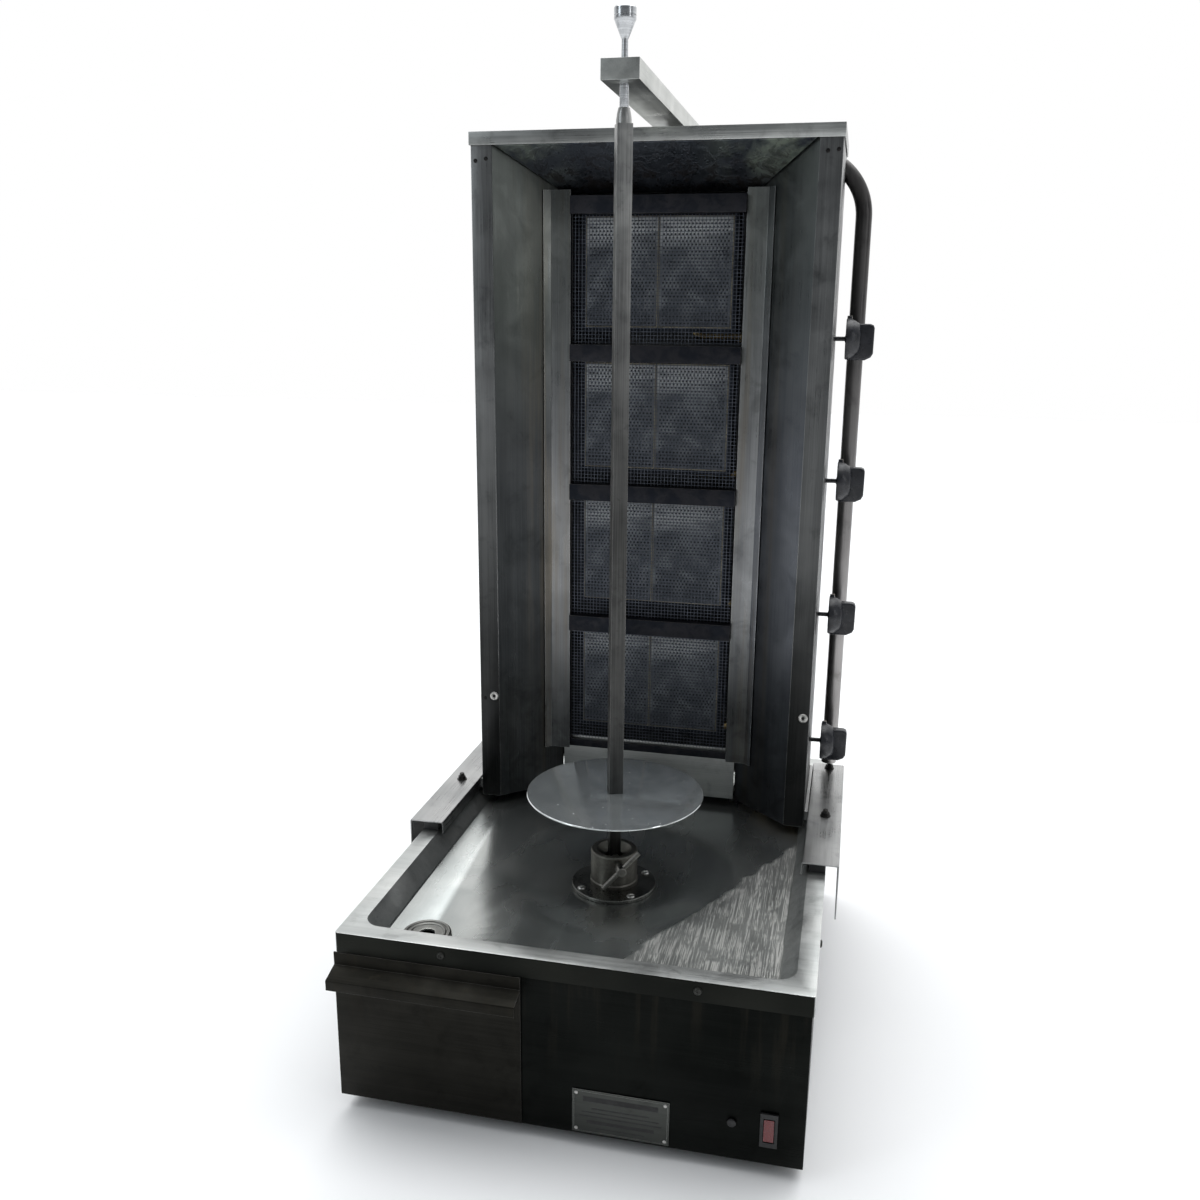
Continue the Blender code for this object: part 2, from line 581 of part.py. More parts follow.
def burners():
    half_w, half_h = PLAQUE_PAIR[0] / 2 + 0.004, PLAQUE_PAIR[1] / 2 + 0.004
    win_w, win_h = 0.0890, 0.0635
    face = y(0.4506)
    for i in range(BURNERS):
        mid = z(burner_z(i))
        body = boxes(f"burner_{i + 1}",
                     [((-half_w, face, mid - half_h), (half_w, y(0.4960), mid + half_h))], "burner_iron")
        cut_box(body, (-win_w, face - 0.01, mid - win_h), (-0.0012, face + 0.0016, mid + win_h))
        cut_box(body, (0.0012, face - 0.01, mid - win_h), (win_w, face + 0.0016, mid + win_h))
        # mesh guard: a framed grid in front of the plaques
        columns, rows = 6, 5
        low, high = mid - 0.0854, mid + 0.0660
        xs = bars(-0.1040, 0.1040, columns, 0.0040)
        zs = bars(low, high, rows, 0.0040)
        bm = bmesh.new()
        grid = [[bm.verts.new((gx, y(0.4402), gz)) for gx in xs] for gz in zs]
        for r in range(len(zs) - 1):
            for c in range(len(xs) - 1):
                if r % 2 and c % 2:
                    continue
                bm.faces.new((grid[r][c], grid[r][c + 1], grid[r + 1][c + 1], grid[r + 1][c]))
        grown = bmesh.ops.extrude_face_region(bm, geom=bm.faces[:])["geom"]
        bmesh.ops.translate(bm, verts=[g for g in grown if isinstance(g, bmesh.types.BMVert)],
                            vec=(0, 0.0016, 0))
        finish(f"mesh_guard_{i + 1}", bm, "mesh_wire")

    spans = [((s * 0.1110 - 0.0060, y(0.4422), z(0.2460)), (s * 0.1110 + 0.0060, y(0.4434), z(0.9540)))
             for s in (-1, 1)]
    bar_half = 0.0102
    for i in range(BURNERS + 1):
        mid = burner_z(i) + 0.0770
        if i < BURNERS:
            spans.append(((-0.1056, y(0.4300), z(mid - bar_half)), (0.1056, y(0.4430), z(mid + bar_half))))
        else:
            spans.append(((-0.1056, y(0.4422), z(0.2460)), (0.1056, y(0.4434), z(0.2560))))
    boxes("burner_frame", spans, "sooty_steel")


def bars(low, high, holes, width):
    """Edges of holes + 1 bars of one width spread evenly from low to high."""
    step = (high - low - width) / holes
    edges = []
    for k in range(holes + 1):
        edges += [low + step * k, low + step * k + width]
    return edges


def gas():
    """Gas manifold: one riser with a tap body for each burner, its mixer tube, and the rear inlet."""
    riser_x, riser_y = 0.1870, 0.5180
    bm = bmesh.new()
    add_turned(bm, [(0, 0.2480), (0.0080, 0.2480), (0.0080, 0.8300), (0, 0.8300)],
               (riser_x, y(riser_y), z(0)), steps=12)
    manifold = finish("gas_manifold", bm, "brass", smooth=40)
    for i in range(BURNERS):
        level = z(valve_z(i))
        bm = bmesh.new()
        add_box(bm, (0.1780, y(VALVE_Y) - 0.0110, level - 0.0110), (0.2060, y(riser_y), level + 0.0110))
        combine(manifold, finish(f"tap_{i + 1}", bm, "brass"), "UNION")
        bm = bmesh.new()
        back = 0.5120
        path = [(0.1800, y(back), level), (0.0500, y(back), level), (0.0400, y(back), level + 0.0030),
                (0.0350, y(back), level + 0.0120), (0.0350, y(back), level + 0.0300)]
        add_tube(bm, path, 0.0065, 8)
        combine(manifold, finish(f"mixer_{i + 1}", bm, "brass"), "UNION")
    bm = bmesh.new()
    path = [(riser_x, y(riser_y), z(0.2620)), (0.1500, y(riser_y), z(0.2620)),
            (0.1420, y(0.5240), z(0.2620)), (0.1400, y(0.5360), z(0.2620)), (0.1400, y(0.5740), z(0.2620))]
    add_tube(bm, path, 0.0070, 12)
    combine(manifold, finish("gas_inlet", bm, "brass"), "UNION")
    cover = bpy.data.objects["tower_back_cover"]
    cut_round(cover, (0.1400, y(TOWER_Y[1]), z(0.2620)), 0.0085, 0.03, "Y", 16)

    for i in range(BURNERS):
        axis = (0, y(VALVE_Y), z(valve_z(i)))
        bm = bmesh.new()
        add_turned(bm, [(0, 0.2064), (0.0040, 0.2064), (0.0040, 0.2265), (0.0235, 0.2265), (0.0245, 0.2275),
                        (0.0232, 0.2340), (0.0200, 0.2395), (0.0175, 0.2440), (0, 0.2440)],
                   (0, axis[1], axis[2]), "X", 24)
        knob = finish(f"knob_{i + 1}", bm, "black_plastic", (0.2265, axis[1], axis[2]), smooth=40)
        bm = bmesh.new()
        cy, cz = axis[1], axis[2]
        grip = [(cy - 0.0062, cz - 0.0250), (cy + 0.0062, cz - 0.0250), (cy + 0.0062, cz + 0.0160),
                (cy + 0.0040, cz + 0.0180), (cy - 0.0040, cz + 0.0180), (cy - 0.0062, cz + 0.0160)]
        add_prism(bm, grip, "X", 0.2285, KNOB_OUT)
        combine(knob, finish(f"knob_grip_{i + 1}", bm, "black_plastic"), "UNION")
        bm = bmesh.new()
        tip = [(cy - 0.0050, cz + 0.0150), (cy + 0.0050, cz + 0.0150), (cy + 0.0015, cz + 0.0275),
               (cy - 0.0015, cz + 0.0275)]
        add_prism(bm, tip, "X", 0.2270, 0.2330)
        combine(knob, finish(f"knob_tip_{i + 1}", bm, "black_plastic"), "UNION")


def saddles():
    """Inverted channels that carry the tower and slide along the tray's side rims."""
    x0, x1 = SADDLE_X
    y0, y1 = y(SADDLE_Y[0]), y(SADDLE_Y[1])
    top, t = z(0.2092), 0.0015
    for side, s in (("left", -1), ("right", 1)):
        bm = bmesh.new()
        outline = [(x0, z(0.1945)), (x0, top), (x1, top), (x1, z(0.1420)), (x1 - t, z(0.1420)),
                   (x1 - t, top - t), (x0 + t, top - t), (x0 + t, z(0.1945))]
        add_prism(bm, [(s * a, b) for a, b in outline], "Y", y0, y1)
        saddle = finish(f"saddle_{side}", bm, "bright_steel")
        spacer = ((TOWER_W / 2 + GAP, y(0.3900), z(0.1945)), (x0 + 0.0005, y1 - 0.004, top - 0.002))
        low = (min(s * spacer[0][0], s * spacer[1][0]), spacer[0][1], spacer[0][2])
        high = (max(s * spacer[0][0], s * spacer[1][0]), spacer[1][1], spacer[1][2])
        bm = bmesh.new()
        add_box(bm, low, high)
        combine(saddle, finish(f"saddle_spacer_{side}", bm, "bright_steel"), "UNION")
        for bolt_y in (0.3778, TUBE_Y):
            unite_turned(saddle, [(0, -0.0005), (0.0062, -0.0005), (0.0062, 0.0050), (0.0040, 0.0085),
                                  (0, 0.0090)], (s * 0.2400, y(bolt_y), top), steps=12)
        if side == "right":               # the guard tube stands on this bolt
            unite_turned(saddle, [(0, 0.0040), (0.0036, 0.0040), (0.0036, z(TUBE_FOOT) - top - GAP),
                                  (0, z(TUBE_FOOT) - top - GAP)], (0.2400, y(TUBE_Y), top), steps=12)
        bm = bmesh.new()
        inner, outer = 0.2262, 0.2444
        add_box(bm, (min(s * inner, s * outer), y0 + 0.006, z(RIM_Z + GAP)),
                (max(s * inner, s * outer), y1 - 0.004, top - t - GAP))
        finish(f"runner_{side}", bm, "black_plastic")


def switch():
    bm = bmesh.new()
    add_box(bm, (0.1990, y(-0.0010), z(0.0215)), (0.2165, y(0.0017), z(0.0595)))
    bezel = finish("switch_bezel", bm, "black_plastic")
    bm = bmesh.new()
    add_box(bm, (0.2014, y(0.0010), z(0.0245)), (0.2141, y(0.0200), z(0.0565)))
    combine(bezel, finish("switch_body", bm, "black_plastic"), "UNION")
    cut_box(bezel, (0.2022, y(-0.01), z(0.0270)), (0.2133, y(0.0120), z(0.0540)))
    # the rocker pivots behind the panel and stands with its upper half pressed in
    pivot = (0.20775, y(0.0048), z(0.0405))
    bm = bmesh.new()
    tilt = math.radians(8)
    outline = [(-0.0046, 0.0108), (-0.0068, 0.0112), (-0.0050, 0.0000), (-0.0068, -0.0112), (-0.0046, -0.0108),
               (0.0020, -0.0060), (0.0020, 0.0060)]
    outline = [(pivot[1] + a * math.cos(tilt) + b * math.sin(tilt),
                pivot[2] - a * math.sin(tilt) + b * math.cos(tilt)) for a, b in outline]
    add_prism(bm, outline, "X", 0.2027, 0.2128)
    finish("switch_rocker", bm, "red_plastic", pivot)


def main():
    for obj in list(bpy.data.objects):
        bpy.data.objects.remove(obj, do_unlink=True)
    spin = bpy.data.objects.new("spit_axis", None)
    spin.location = (SPIT_X, SPIT_Y, z(0))
    spin.rotation_euler = (0, 0, SKEWER_TURN)
    bpy.context.scene.collection.objects.link(spin)
    base()
    tray()
    drawer()
    switch()
    drive(spin)
    spit(spin)
    arm()
    casing()
    guard_tube()
    burners()
    gas()
    saddles()
    bpy.context.view_layer.update()


main()
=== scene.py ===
import json
import math

import bmesh
import bpy
from mathutils import Matrix, Vector, noise


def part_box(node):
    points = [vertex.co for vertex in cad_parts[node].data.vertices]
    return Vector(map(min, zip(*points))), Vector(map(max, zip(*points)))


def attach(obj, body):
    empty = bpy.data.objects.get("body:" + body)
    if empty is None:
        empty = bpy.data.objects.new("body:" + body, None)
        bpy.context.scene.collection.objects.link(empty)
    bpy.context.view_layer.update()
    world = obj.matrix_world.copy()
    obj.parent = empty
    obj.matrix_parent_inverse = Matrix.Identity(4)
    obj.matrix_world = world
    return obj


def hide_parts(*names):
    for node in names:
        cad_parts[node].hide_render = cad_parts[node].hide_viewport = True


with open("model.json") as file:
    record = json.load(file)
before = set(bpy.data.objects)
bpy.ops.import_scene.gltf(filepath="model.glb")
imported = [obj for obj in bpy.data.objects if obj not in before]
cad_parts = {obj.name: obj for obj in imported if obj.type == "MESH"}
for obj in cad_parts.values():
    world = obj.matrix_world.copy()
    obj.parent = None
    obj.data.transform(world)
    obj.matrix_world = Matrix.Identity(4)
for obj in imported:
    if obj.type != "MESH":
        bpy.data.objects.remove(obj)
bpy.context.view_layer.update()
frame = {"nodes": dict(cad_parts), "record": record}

NODES = frame["nodes"]
BODY_OF = {n: body for body, members in frame["record"]["behaviour"]["bodies"].items() for n in members}

# ---- places read from the frame ------------------------------------------------------------------
TRAY_LOW, TRAY_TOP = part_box("drip_tray")
CASE_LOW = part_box("tower_casing")[0]
DISC_LOW, DISC_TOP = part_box("meat_disc")
FRONT = TRAY_LOW.y                                   # front of the tray's skirt
RIM_Z = TRAY_TOP.z
SPIT = Vector(((DISC_LOW.x + DISC_TOP.x) / 2, (DISC_LOW.y + DISC_TOP.y) / 2, 0))
SPIT_TURN = math.radians(22.4)
BURNERS = [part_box(f"burner_{i}") for i in range(1, 5)]
BURNER_Z = [(low.z + top.z) / 2 for low, top in BURNERS]


# ---- mesh helpers --------------------------------------------------------------------------------
def link(name, mesh, material, body, at=(0, 0, 0), stands_for=()):
    """One finished piece: its finish, the body it rides on and the CAD nodes it stands for."""
    obj = bpy.data.objects.new(name, mesh)
    obj.location = at
    bpy.context.scene.collection.objects.link(obj)
    if not mesh.materials:
        mesh.materials.append(material)
    if stands_for:
        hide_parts(*stands_for)
    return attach(obj, body)


def to_mesh(name, bm, smooth=35):
    """A bmesh as mesh data with outward faces, smooth except across edges sharper than smooth."""
    bmesh.ops.recalc_face_normals(bm, faces=bm.faces)
    mesh = bpy.data.meshes.new(name)
    bm.to_mesh(mesh)
    bm.free()
    mesh.shade_smooth()
    mesh.set_sharp_from_angle(angle=math.radians(smooth))
    return mesh


def finished(name, bm, smooth, material, body, at=(0, 0, 0), stands_for=()):
    """A piece straight from a bmesh."""
    return link(name, to_mesh(name, bm, smooth), material, body, at, stands_for)


def round_edges(bm, width, segments=2, sharper=30):
    """Round every edge that turns by more than the given angle."""
    if width <= 0:
        return
    turn = math.radians(sharper)
    edges = [e for e in bm.edges if len(e.link_faces) == 2 and e.calc_face_angle(0) > turn]
    bmesh.ops.bevel(bm, geom=edges, offset=width, offset_type="OFFSET", segments=segments, profile=0.6,
                    affect="EDGES", clamp_overlap=True)


def refined(node, material, edge, segments, smooth):
    """A CAD node's own shape again, with its edges rounded and its curved faces shaded smooth."""
    bm = bmesh.new()
    bm.from_mesh(NODES[node].data)
    bmesh.ops.remove_doubles(bm, verts=bm.verts, dist=1e-6)
    bmesh.ops.dissolve_limit(bm, angle_limit=math.radians(0.4), verts=bm.verts, edges=bm.edges)
    round_edges(bm, edge, segments)
    finished(node + "_fine", bm, smooth, material, BODY_OF[node], stands_for=(node,))


def add_box(bm, low, high):
    size = [b - a for a, b in zip(low, high)]
    middle = [(a + b) / 2 for a, b in zip(low, high)]
    bmesh.ops.create_cube(bm, size=1.0, matrix=Matrix.Translation(middle) @ Matrix.Diagonal((*size, 1.0)))


def frame_matrix(at, normal):
    """Places a shape drawn on the XY plane so that its +Z looks along normal."""
    return Matrix.Translation(at) @ Vector(normal).to_track_quat("Z", "Y").to_matrix().to_4x4()


def circle(radius, height, steps, x=0.0, y=0.0):
    """Points of a level circle about (x, y)."""
    turns = [2 * math.pi * k / steps for k in range(steps)]
    return [(x + radius * math.cos(t), y + radius * math.sin(t), height) for t in turns]


def skin(bm, lower, upper):
    """Faces between two rings of vertices, where a ring of one vertex is a tip."""
    count = max(len(lower), len(upper))
    for k in range(count):
        j = (k + 1) % count
        if len(lower) == 1:
            bm.faces.new((lower[0], upper[k], upper[j]))
        elif len(upper) == 1:
            bm.faces.new((lower[k], lower[j], upper[0]))
        else:
            bm.faces.new((lower[k], lower[j], upper[j], upper[k]))


def add_lathe(bm, profile, place=Matrix(), steps=48):
    """A solid of revolution about place's Z; profile runs over (radius, height) pairs."""
    rings = []
    for radius, height in profile:
        count = 1 if radius < 1e-7 else steps
        rings.append([bm.verts.new(place @ Vector(p)) for p in circle(radius, height, steps)[:count]])
    closed = len(rings[0]) > 1 and len(rings[-1]) > 1
    for lower, upper in zip(rings, rings[1:] + rings[:1] if closed else rings[1:]):
        skin(bm, lower, upper)


def add_sweep(bm, path, radius, sides, side_hint=(0.31, 0.92, 0.24)):
    """A bar of round or square section swept along a path of points."""
    points = [Vector(p) for p in path]
    turns = [2 * math.pi * (k + 0.5) / sides for k in range(sides)]
    rings, side = [], None
    for i, point in enumerate(points):
        ahead = (points[min(i + 1, len(points) - 1)] - points[max(i - 1, 0)]).normalized()
        if side is None:
            side = ahead.cross(Vector(side_hint)).normalized()
        side = (side - ahead * side.dot(ahead)).normalized()
        up = ahead.cross(side)
        rings.append([bm.verts.new(point + radius * (side * math.cos(t) + up * math.sin(t)))
                      for t in turns])
    for lower, upper in zip(rings, rings[1:]):
        skin(bm, lower, upper)
    bm.faces.new(rings[0])
    bm.faces.new(rings[-1])


def add_prism(bm, outline, axis, low, high):
    """An outline of (a, b) points drawn across axis and extruded from low to high along it."""
    order = {"X": (2, 0, 1), "Y": (0, 2, 1)}[axis]
    near, far = ([bm.verts.new([(a, b, level)[i] for i in order]) for a, b in outline]
                 for level in (low, high))
    bm.faces.new(near)
    bm.faces.new(list(reversed(far)))
    for i in range(len(outline)):
        j = (i + 1) % len(outline)
        bm.faces.new((near[i], far[i], far[j], near[j]))


# ---- finishes ------------------------------------------------------------------------------------
def scaled(tone, factor, lift=0.0):
    return tuple(min(1.0, c * factor + lift) for c in tone)


class Finish:
    """One procedural material, built up node by node in object space."""

    def __init__(self, name, metallic, roughness, coat=0.0, specular=0.5):
        self.material = bpy.data.materials.new(name)
        self.material.use_nodes = True
        self.tree = self.material.node_tree
        self.shader = self.tree.nodes["Principled BSDF"]
        for key, value in (("Metallic", metallic), ("Roughness", roughness),
                           ("Specular IOR Level", specular), ("Coat Weight", coat)):
            self.shader.inputs[key].default_value = value
        self.relief = None
        coords = self.add("ShaderNodeTexCoord")
        self.place = coords.outputs["Object"]
        self.x, self.y, self.z = self.add("ShaderNodeSeparateXYZ", {0: self.place}).outputs
        self.nx, self.ny, _ = self.add("ShaderNodeSeparateXYZ", {0: coords.outputs["Normal"]}).outputs

    def add(self, kind, inputs=None, **settings):
        node = self.tree.nodes.new(kind)
        for key, value in settings.items():
            setattr(node, key, value)
        for key, value in (inputs or {}).items():
            self.feed(value, node.inputs[key])
        return node

    def join(self, a, b):
        self.tree.links.new(a, b)

    def feed(self, value, socket):
        if isinstance(value, bpy.types.NodeSocket):
            self.join(value, socket)
        elif isinstance(value, tuple):
            socket.default_value = (*value, 1.0) if len(socket.default_value) == 4 else value
        else:
            socket.default_value = value

    def math(self, operation, a, b=0.0, clamp=False):
        return self.add("ShaderNodeMath", {0: a, 1: b}, operation=operation, use_clamp=clamp).outputs[0]

    def times(self, first, *others):
        for other in others:
            first = self.math("MULTIPLY", first, other)
        return first

    def plus(self, a, b, clamp=False):
        return self.math("ADD", a, b, clamp)

    def minus(self, a, b, clamp=False):
        return self.math("SUBTRACT", a, b, clamp)

    def band(self, value, low, high, to_low=0.0, to_high=1.0):
        """value from low..high mapped softly to to_low..to_high and held there beyond."""
        ends = {"From Min": low, "From Max": high, "To Min": to_low, "To Max": to_high}
        node = self.add("ShaderNodeMapRange", {"Value": value, **ends}, interpolation_type="SMOOTHSTEP")
        return node.outputs[0]

    def between(self, value, low, high, fade):
        """1 between low and high, fading to 0 over fade on either side."""
        return self.times(self.band(value, low - fade, low + fade),
                          self.band(value, high - fade, high + fade, 1.0, 0.0))

    def noise(self, size, stretch=(1, 1, 1), detail=4.0, rough=0.55, bend=0.0, shift=(0, 0, 0)):
        """Cloud noise whose features are about size metres across, longer where stretch is below 1."""
        place = self.add("ShaderNodeMapping", {"Vector": self.place, "Scale": stretch, "Location": shift})
        return self.add("ShaderNodeTexNoise", {"Vector": place.outputs[0], "Scale": 1.0 / size,
                                               "Detail": detail, "Roughness": rough,
                                               "Distortion": bend}).outputs["Fac"]

    def specks(self, size, low, high):
        """Scattered round specks: 1 at their middles, 0 between them."""
        node = self.add("ShaderNodeTexVoronoi", {"Vector": self.place, "Scale": 1.0 / size})
        return self.band(node.outputs["Distance"], low, high, 1.0, 0.0)

    def mix(self, amount, a, b, kind="MIX"):
        return self.add("ShaderNodeMix", {0: amount, 6: a, 7: b}, data_type="RGBA",
                        blend_type=kind).outputs[2]

    def lay(self, colour, tone, *amounts):
        """tone laid over colour by the product of the masks and strengths given."""
        return self.mix(self.times(*amounts), colour, tone)

    def edges(self, radius):
        """1 on the worn rim of sharp corners, from the difference between rounded and flat normals."""
        rounded = self.add("ShaderNodeBevel", {"Radius": radius}, samples=4)
        flat = self.add("ShaderNodeNewGeometry")
        dot = self.add("ShaderNodeVectorMath", {0: rounded.outputs[0], 1: flat.outputs["Normal"]},
                       operation="DOT_PRODUCT")
        return self.band(dot.outputs["Value"], 0.70, 0.97, 1.0, 0.0)

    def bump(self, height, depth, strength):
        """One more layer of relief over the ones before it."""
        node = self.add("ShaderNodeBump", {"Strength": strength, "Distance": depth, "Height": height})
        if self.relief is not None:
            self.join(self.relief, node.inputs["Normal"])
        self.relief = node.outputs[0]

    def scratches(self, size, length, angle, thin, density, shift):
        """Thin straight scratches along one direction of the XY plane, masked into patches."""
        turn = self.add("ShaderNodeMapping", {"Vector": self.place, "Rotation": (0, 0, angle),
                                              "Scale": (1.0 / size, 1.0 / length, 1.0 / length),
                                              "Location": (shift, shift * 0.7, 0)})
        node = self.add("ShaderNodeTexNoise", {"Vector": turn.outputs[0], "Scale": 1.0, "Detail": 1.0,
                                               "Distortion": 0.15})
        line = self.math("ABSOLUTE", self.minus(node.outputs["Fac"], 0.5))
        line = self.band(line, thin * 0.3, thin, 1.0, 0.0)
        patch = self.band(self.noise(size * 9, detail=2.0, shift=(shift, 3.1, 0)), density, density + 0.12)
        return self.times(line, patch)

    def done(self, colour, roughness):
        """The material with its last colour, roughness and relief."""
        self.join(colour, self.shader.inputs["Base Color"])
        self.join(roughness, self.shader.inputs["Roughness"])
        self.join(self.relief, self.shader.inputs["Normal"])
        return self.material


ALONG_X, ALONG_Y, ALONG_Z = (0.012, 1, 1), (1, 0.012, 1), (1, 1, 0.012)


def steel(name, dark, light, rough=0.35, grain=ALONG_Z, grain_size=0.0016, streak=0.35, smudge=0.12,
          wear_and_glint=0.35, ripple=0.0004, tint_and_shade=None, metallic=1.0, extra=None, height_shading=None, rim=0.0014):
    """Brushed sheet steel: cloudy tone, grain streaks, smudges, worn edges brightened into painted edge
    highlights, painted light and shade by height where given, and a slight ripple.
    """
    f = Finish(name, metallic, rough)
    cloud = f.band(f.noise(0.11, detail=3.0), 0.3, 0.7)
    fine = f.noise(grain_size, grain, detail=3.0, rough=0.6)
    broad = f.noise(grain_size * 9, grain, detail=3.0)
    colour = f.lay(dark, light, cloud, 0.75)
    lines = f.plus(f.times(fine, 0.5), f.times(broad, 0.5))
    colour = f.mix(f.band(lines, 0.36, 0.64, 0.0, streak), colour, scaled(light, 1.7))
    stains = f.band(f.noise(0.035, detail=5.0, rough=0.65, bend=0.4), 0.52, 0.74)
    colour = f.lay(colour, scaled(dark, 0.45), stains, 0.45)
    if tint_and_shade:
        colour = tint_and_shade(f, colour)
    if height_shading:                             # painted light and shade by height: (low z, high z, low tone, high tone)
        colour = f.mix(1.0, colour, f.band(f.z, *height_shading), "MULTIPLY")
    # worn edges, brightened well past the steel's own tone as painted edge highlights
    edge = f.edges(rim)
    colour = f.lay(colour, scaled(light, 2.6, 0.08), edge, wear_and_glint)
    dull = f.band(f.noise(0.06, detail=5.0, rough=0.6, bend=0.6), 0.35, 0.72,
                  rough - smudge * 0.5, rough + smudge)
    rough_out = f.plus(dull, f.band(fine, 0.3, 0.7, -0.04, 0.06))
    rough_out = f.minus(rough_out, f.times(edge, 0.10), clamp=True)
    f.bump(f.noise(0.14, detail=1.0), ripple, 1.0)
    f.bump(fine, 0.00006, 0.6)
    if extra:
        colour, rough_out = extra(f, colour, rough_out)
    return f.done(colour, rough_out)


def fascia_look(f, colour, rough):
    """Grease runs below the rim and a paler, wiped band across the middle."""
    runs = f.band(f.noise(0.010, (1, 1, 0.06), detail=4.0), 0.50, 0.70)
    high = f.band(f.z, 0.06, 0.19)
    colour = f.lay(colour, (0.020, 0.018, 0.014), runs, high, 0.5)
    wiped = f.band(f.noise(0.05, (0.25, 1, 1), detail=3.0, bend=0.5, shift=(2, 0, 5)), 0.50, 0.66)
    return colour, f.minus(rough, f.times(wiped, 0.08), clamp=True)


FLOOR_X, FLOOR_BACK = 0.2085, 0.268                  # half width and far end of the tray's floor


def tray_look(f, colour, rough):
    """A filmed floor with a painted shadow of the disc round the drive, a corner of straight scratches in a
    painted pool of light, and a skirt whose front face is painted dark as shade.
    """
    below = f.band(f.z, RIM_Z - 0.008, RIM_Z - 0.003, 1.0, 0.0)
    inside = f.times(f.between(f.x, -FLOOR_X, FLOOR_X, 0.001),
                     f.between(f.y, FRONT + 0.0258, FLOOR_BACK, 0.001))
    floor = f.times(below, inside)
    film = f.band(f.noise(0.09, detail=2.0, rough=0.5, bend=0.2), 0.28, 0.72)
    dirty = f.mix(film, (0.33, 0.350, 0.342), (0.47, 0.485, 0.47))
    specks = f.specks(0.012, 0.03, 0.10)
    dirty = f.lay(dirty, (0.12, 0.11, 0.09), specks, 0.30)
    away = f.math("SQRT", f.plus(f.math("POWER", f.minus(f.x, SPIT.x), 2.0),
                                f.math("POWER", f.minus(f.y, SPIT.y), 2.0)))
    # painted shadow of the disc on the floor round the drive
    disc_shadow = f.band(away, 0.055, 0.100, 1.0, 0.0)
    dirty = f.lay(dirty, (0.150, 0.152, 0.142), disc_shadow, 0.45)
    colour = f.mix(floor, colour, dirty)
    # a painted pool of light over the scratched corner, bounded by a straight painted shadow edge; the
    # scratches show mostly inside it
    side = f.minus(f.minus(f.x, 0.083), f.times(f.plus(f.y, 0.187), 0.52))
    wobble = f.plus(side, f.band(f.noise(0.03, detail=3.0), 0.3, 0.7, -0.004, 0.004))
    scoured_and_lit = f.times(f.band(wobble, -0.003, 0.004), floor)
    marks = None
    for angle, shift in ((0.10, 0.0), (0.22, 4.7), (0.0, 9.1), (0.50, 13.0)):
        one = f.scratches(0.0035, 0.14, angle, thin=0.038, density=0.44, shift=shift)
        marks = one if marks is None else f.math("MAXIMUM", marks, one)
    marks = f.times(marks, floor, f.plus(0.04, f.times(scoured_and_lit, 0.96)))
    # painted light over the scratched corner
    colour = f.lay(colour, (0.50, 0.495, 0.465), scoured_and_lit, 0.35)
    colour = f.lay(colour, (0.80, 0.79, 0.75), marks, 0.7)
    scatter = f.plus(f.times(scoured_and_lit, 0.02), f.times(marks, 0.16))
    f.join(f.minus(0.93, scatter), f.shader.inputs["Metallic"])
    smear = f.band(f.noise(0.06, (1, 0.4, 1), detail=3.0, bend=0.3), 0.30, 0.72, 0.21, 0.33)
    smear = f.plus(smear, f.times(scoured_and_lit, 0.12))
    rough = f.plus(f.times(rough, f.minus(1.0, floor)), f.times(smear, floor))
    # painted shade: the skirt's front face near black, the same steel as the floor and rim
    face = f.times(f.band(f.ny, -0.9, -0.5, 1.0, 0.0),
                   f.band(f.y, FRONT + 0.004, FRONT + 0.01, 1.0, 0.0))
    skirt = f.mix(film, (0.0070, 0.0078, 0.0066), (0.0130, 0.0138, 0.0115))
    colour = f.mix(face, colour, skirt)
    f.bump(marks, 0.00012, 0.7)
    f.bump(f.noise(0.004, detail=3.0), 0.00010, 0.25)
    return colour, rough


def tower_tint_and_shade(f, colour):
    """Painted shade on the left wing and painted bluish light on the right; straw near the burners, green
    above, soot on top.
    """
    # painted shade across the middle heights of right-turned faces on the left wing
    left = f.times(f.band(f.nx, 0.25, 0.40), f.band(f.x, 0.0, -0.02))
    middle = f.times(f.between(f.z, 0.36, 0.90, 0.07), left)
    colour = f.lay(colour, (0.020, 0.023, 0.024), middle, 0.60)
    # painted bluish light on left-turned faces, as on the right wing
    colour = f.lay(colour, (0.110, 0.122, 0.150), f.band(f.nx, -0.25, -0.40), 0.45)
    near = f.band(f.y, 0.085, 0.150)
    streaks = f.band(f.noise(0.012, (1, 1, 0.03), detail=4.0), 0.45, 0.68)
    straw = f.times(near, streaks, 0.5)
    colour = f.mix(straw, colour, (0.190, 0.155, 0.105))
    green = f.times(f.band(f.z, 0.62, 1.0), 0.45)
    colour = f.mix(green, colour, (0.160, 0.178, 0.150))
    sooty = f.band(f.z, 0.90, 1.005)
    cloud = f.band(f.noise(0.05, detail=5.0, bend=0.6), 0.30, 0.62)
    soot = f.times(sooty, near, cloud)
    colour = f.lay(colour, (0.010, 0.011, 0.014), soot, 0.8)
    low = f.times(f.band(f.z, 0.20, 0.42, 1.0, 0.0),
                  f.band(f.noise(0.03, detail=5.0, bend=0.7), 0.42, 0.64))
    return f.lay(colour, (0.036, 0.036, 0.036), low, 0.45)


def cap_lip_light(f, colour):
    """Painted light and shade along the lid's front lip: darker towards the left, brighter towards the
    right.
    """
    lip = f.band(f.ny, -0.7, -0.5, 1.0, 0.0)
    return f.mix(lip, colour, f.mix(1.0, colour, f.band(f.x, -0.10, 0.18, 0.80, 1.9), "MULTIPLY"))


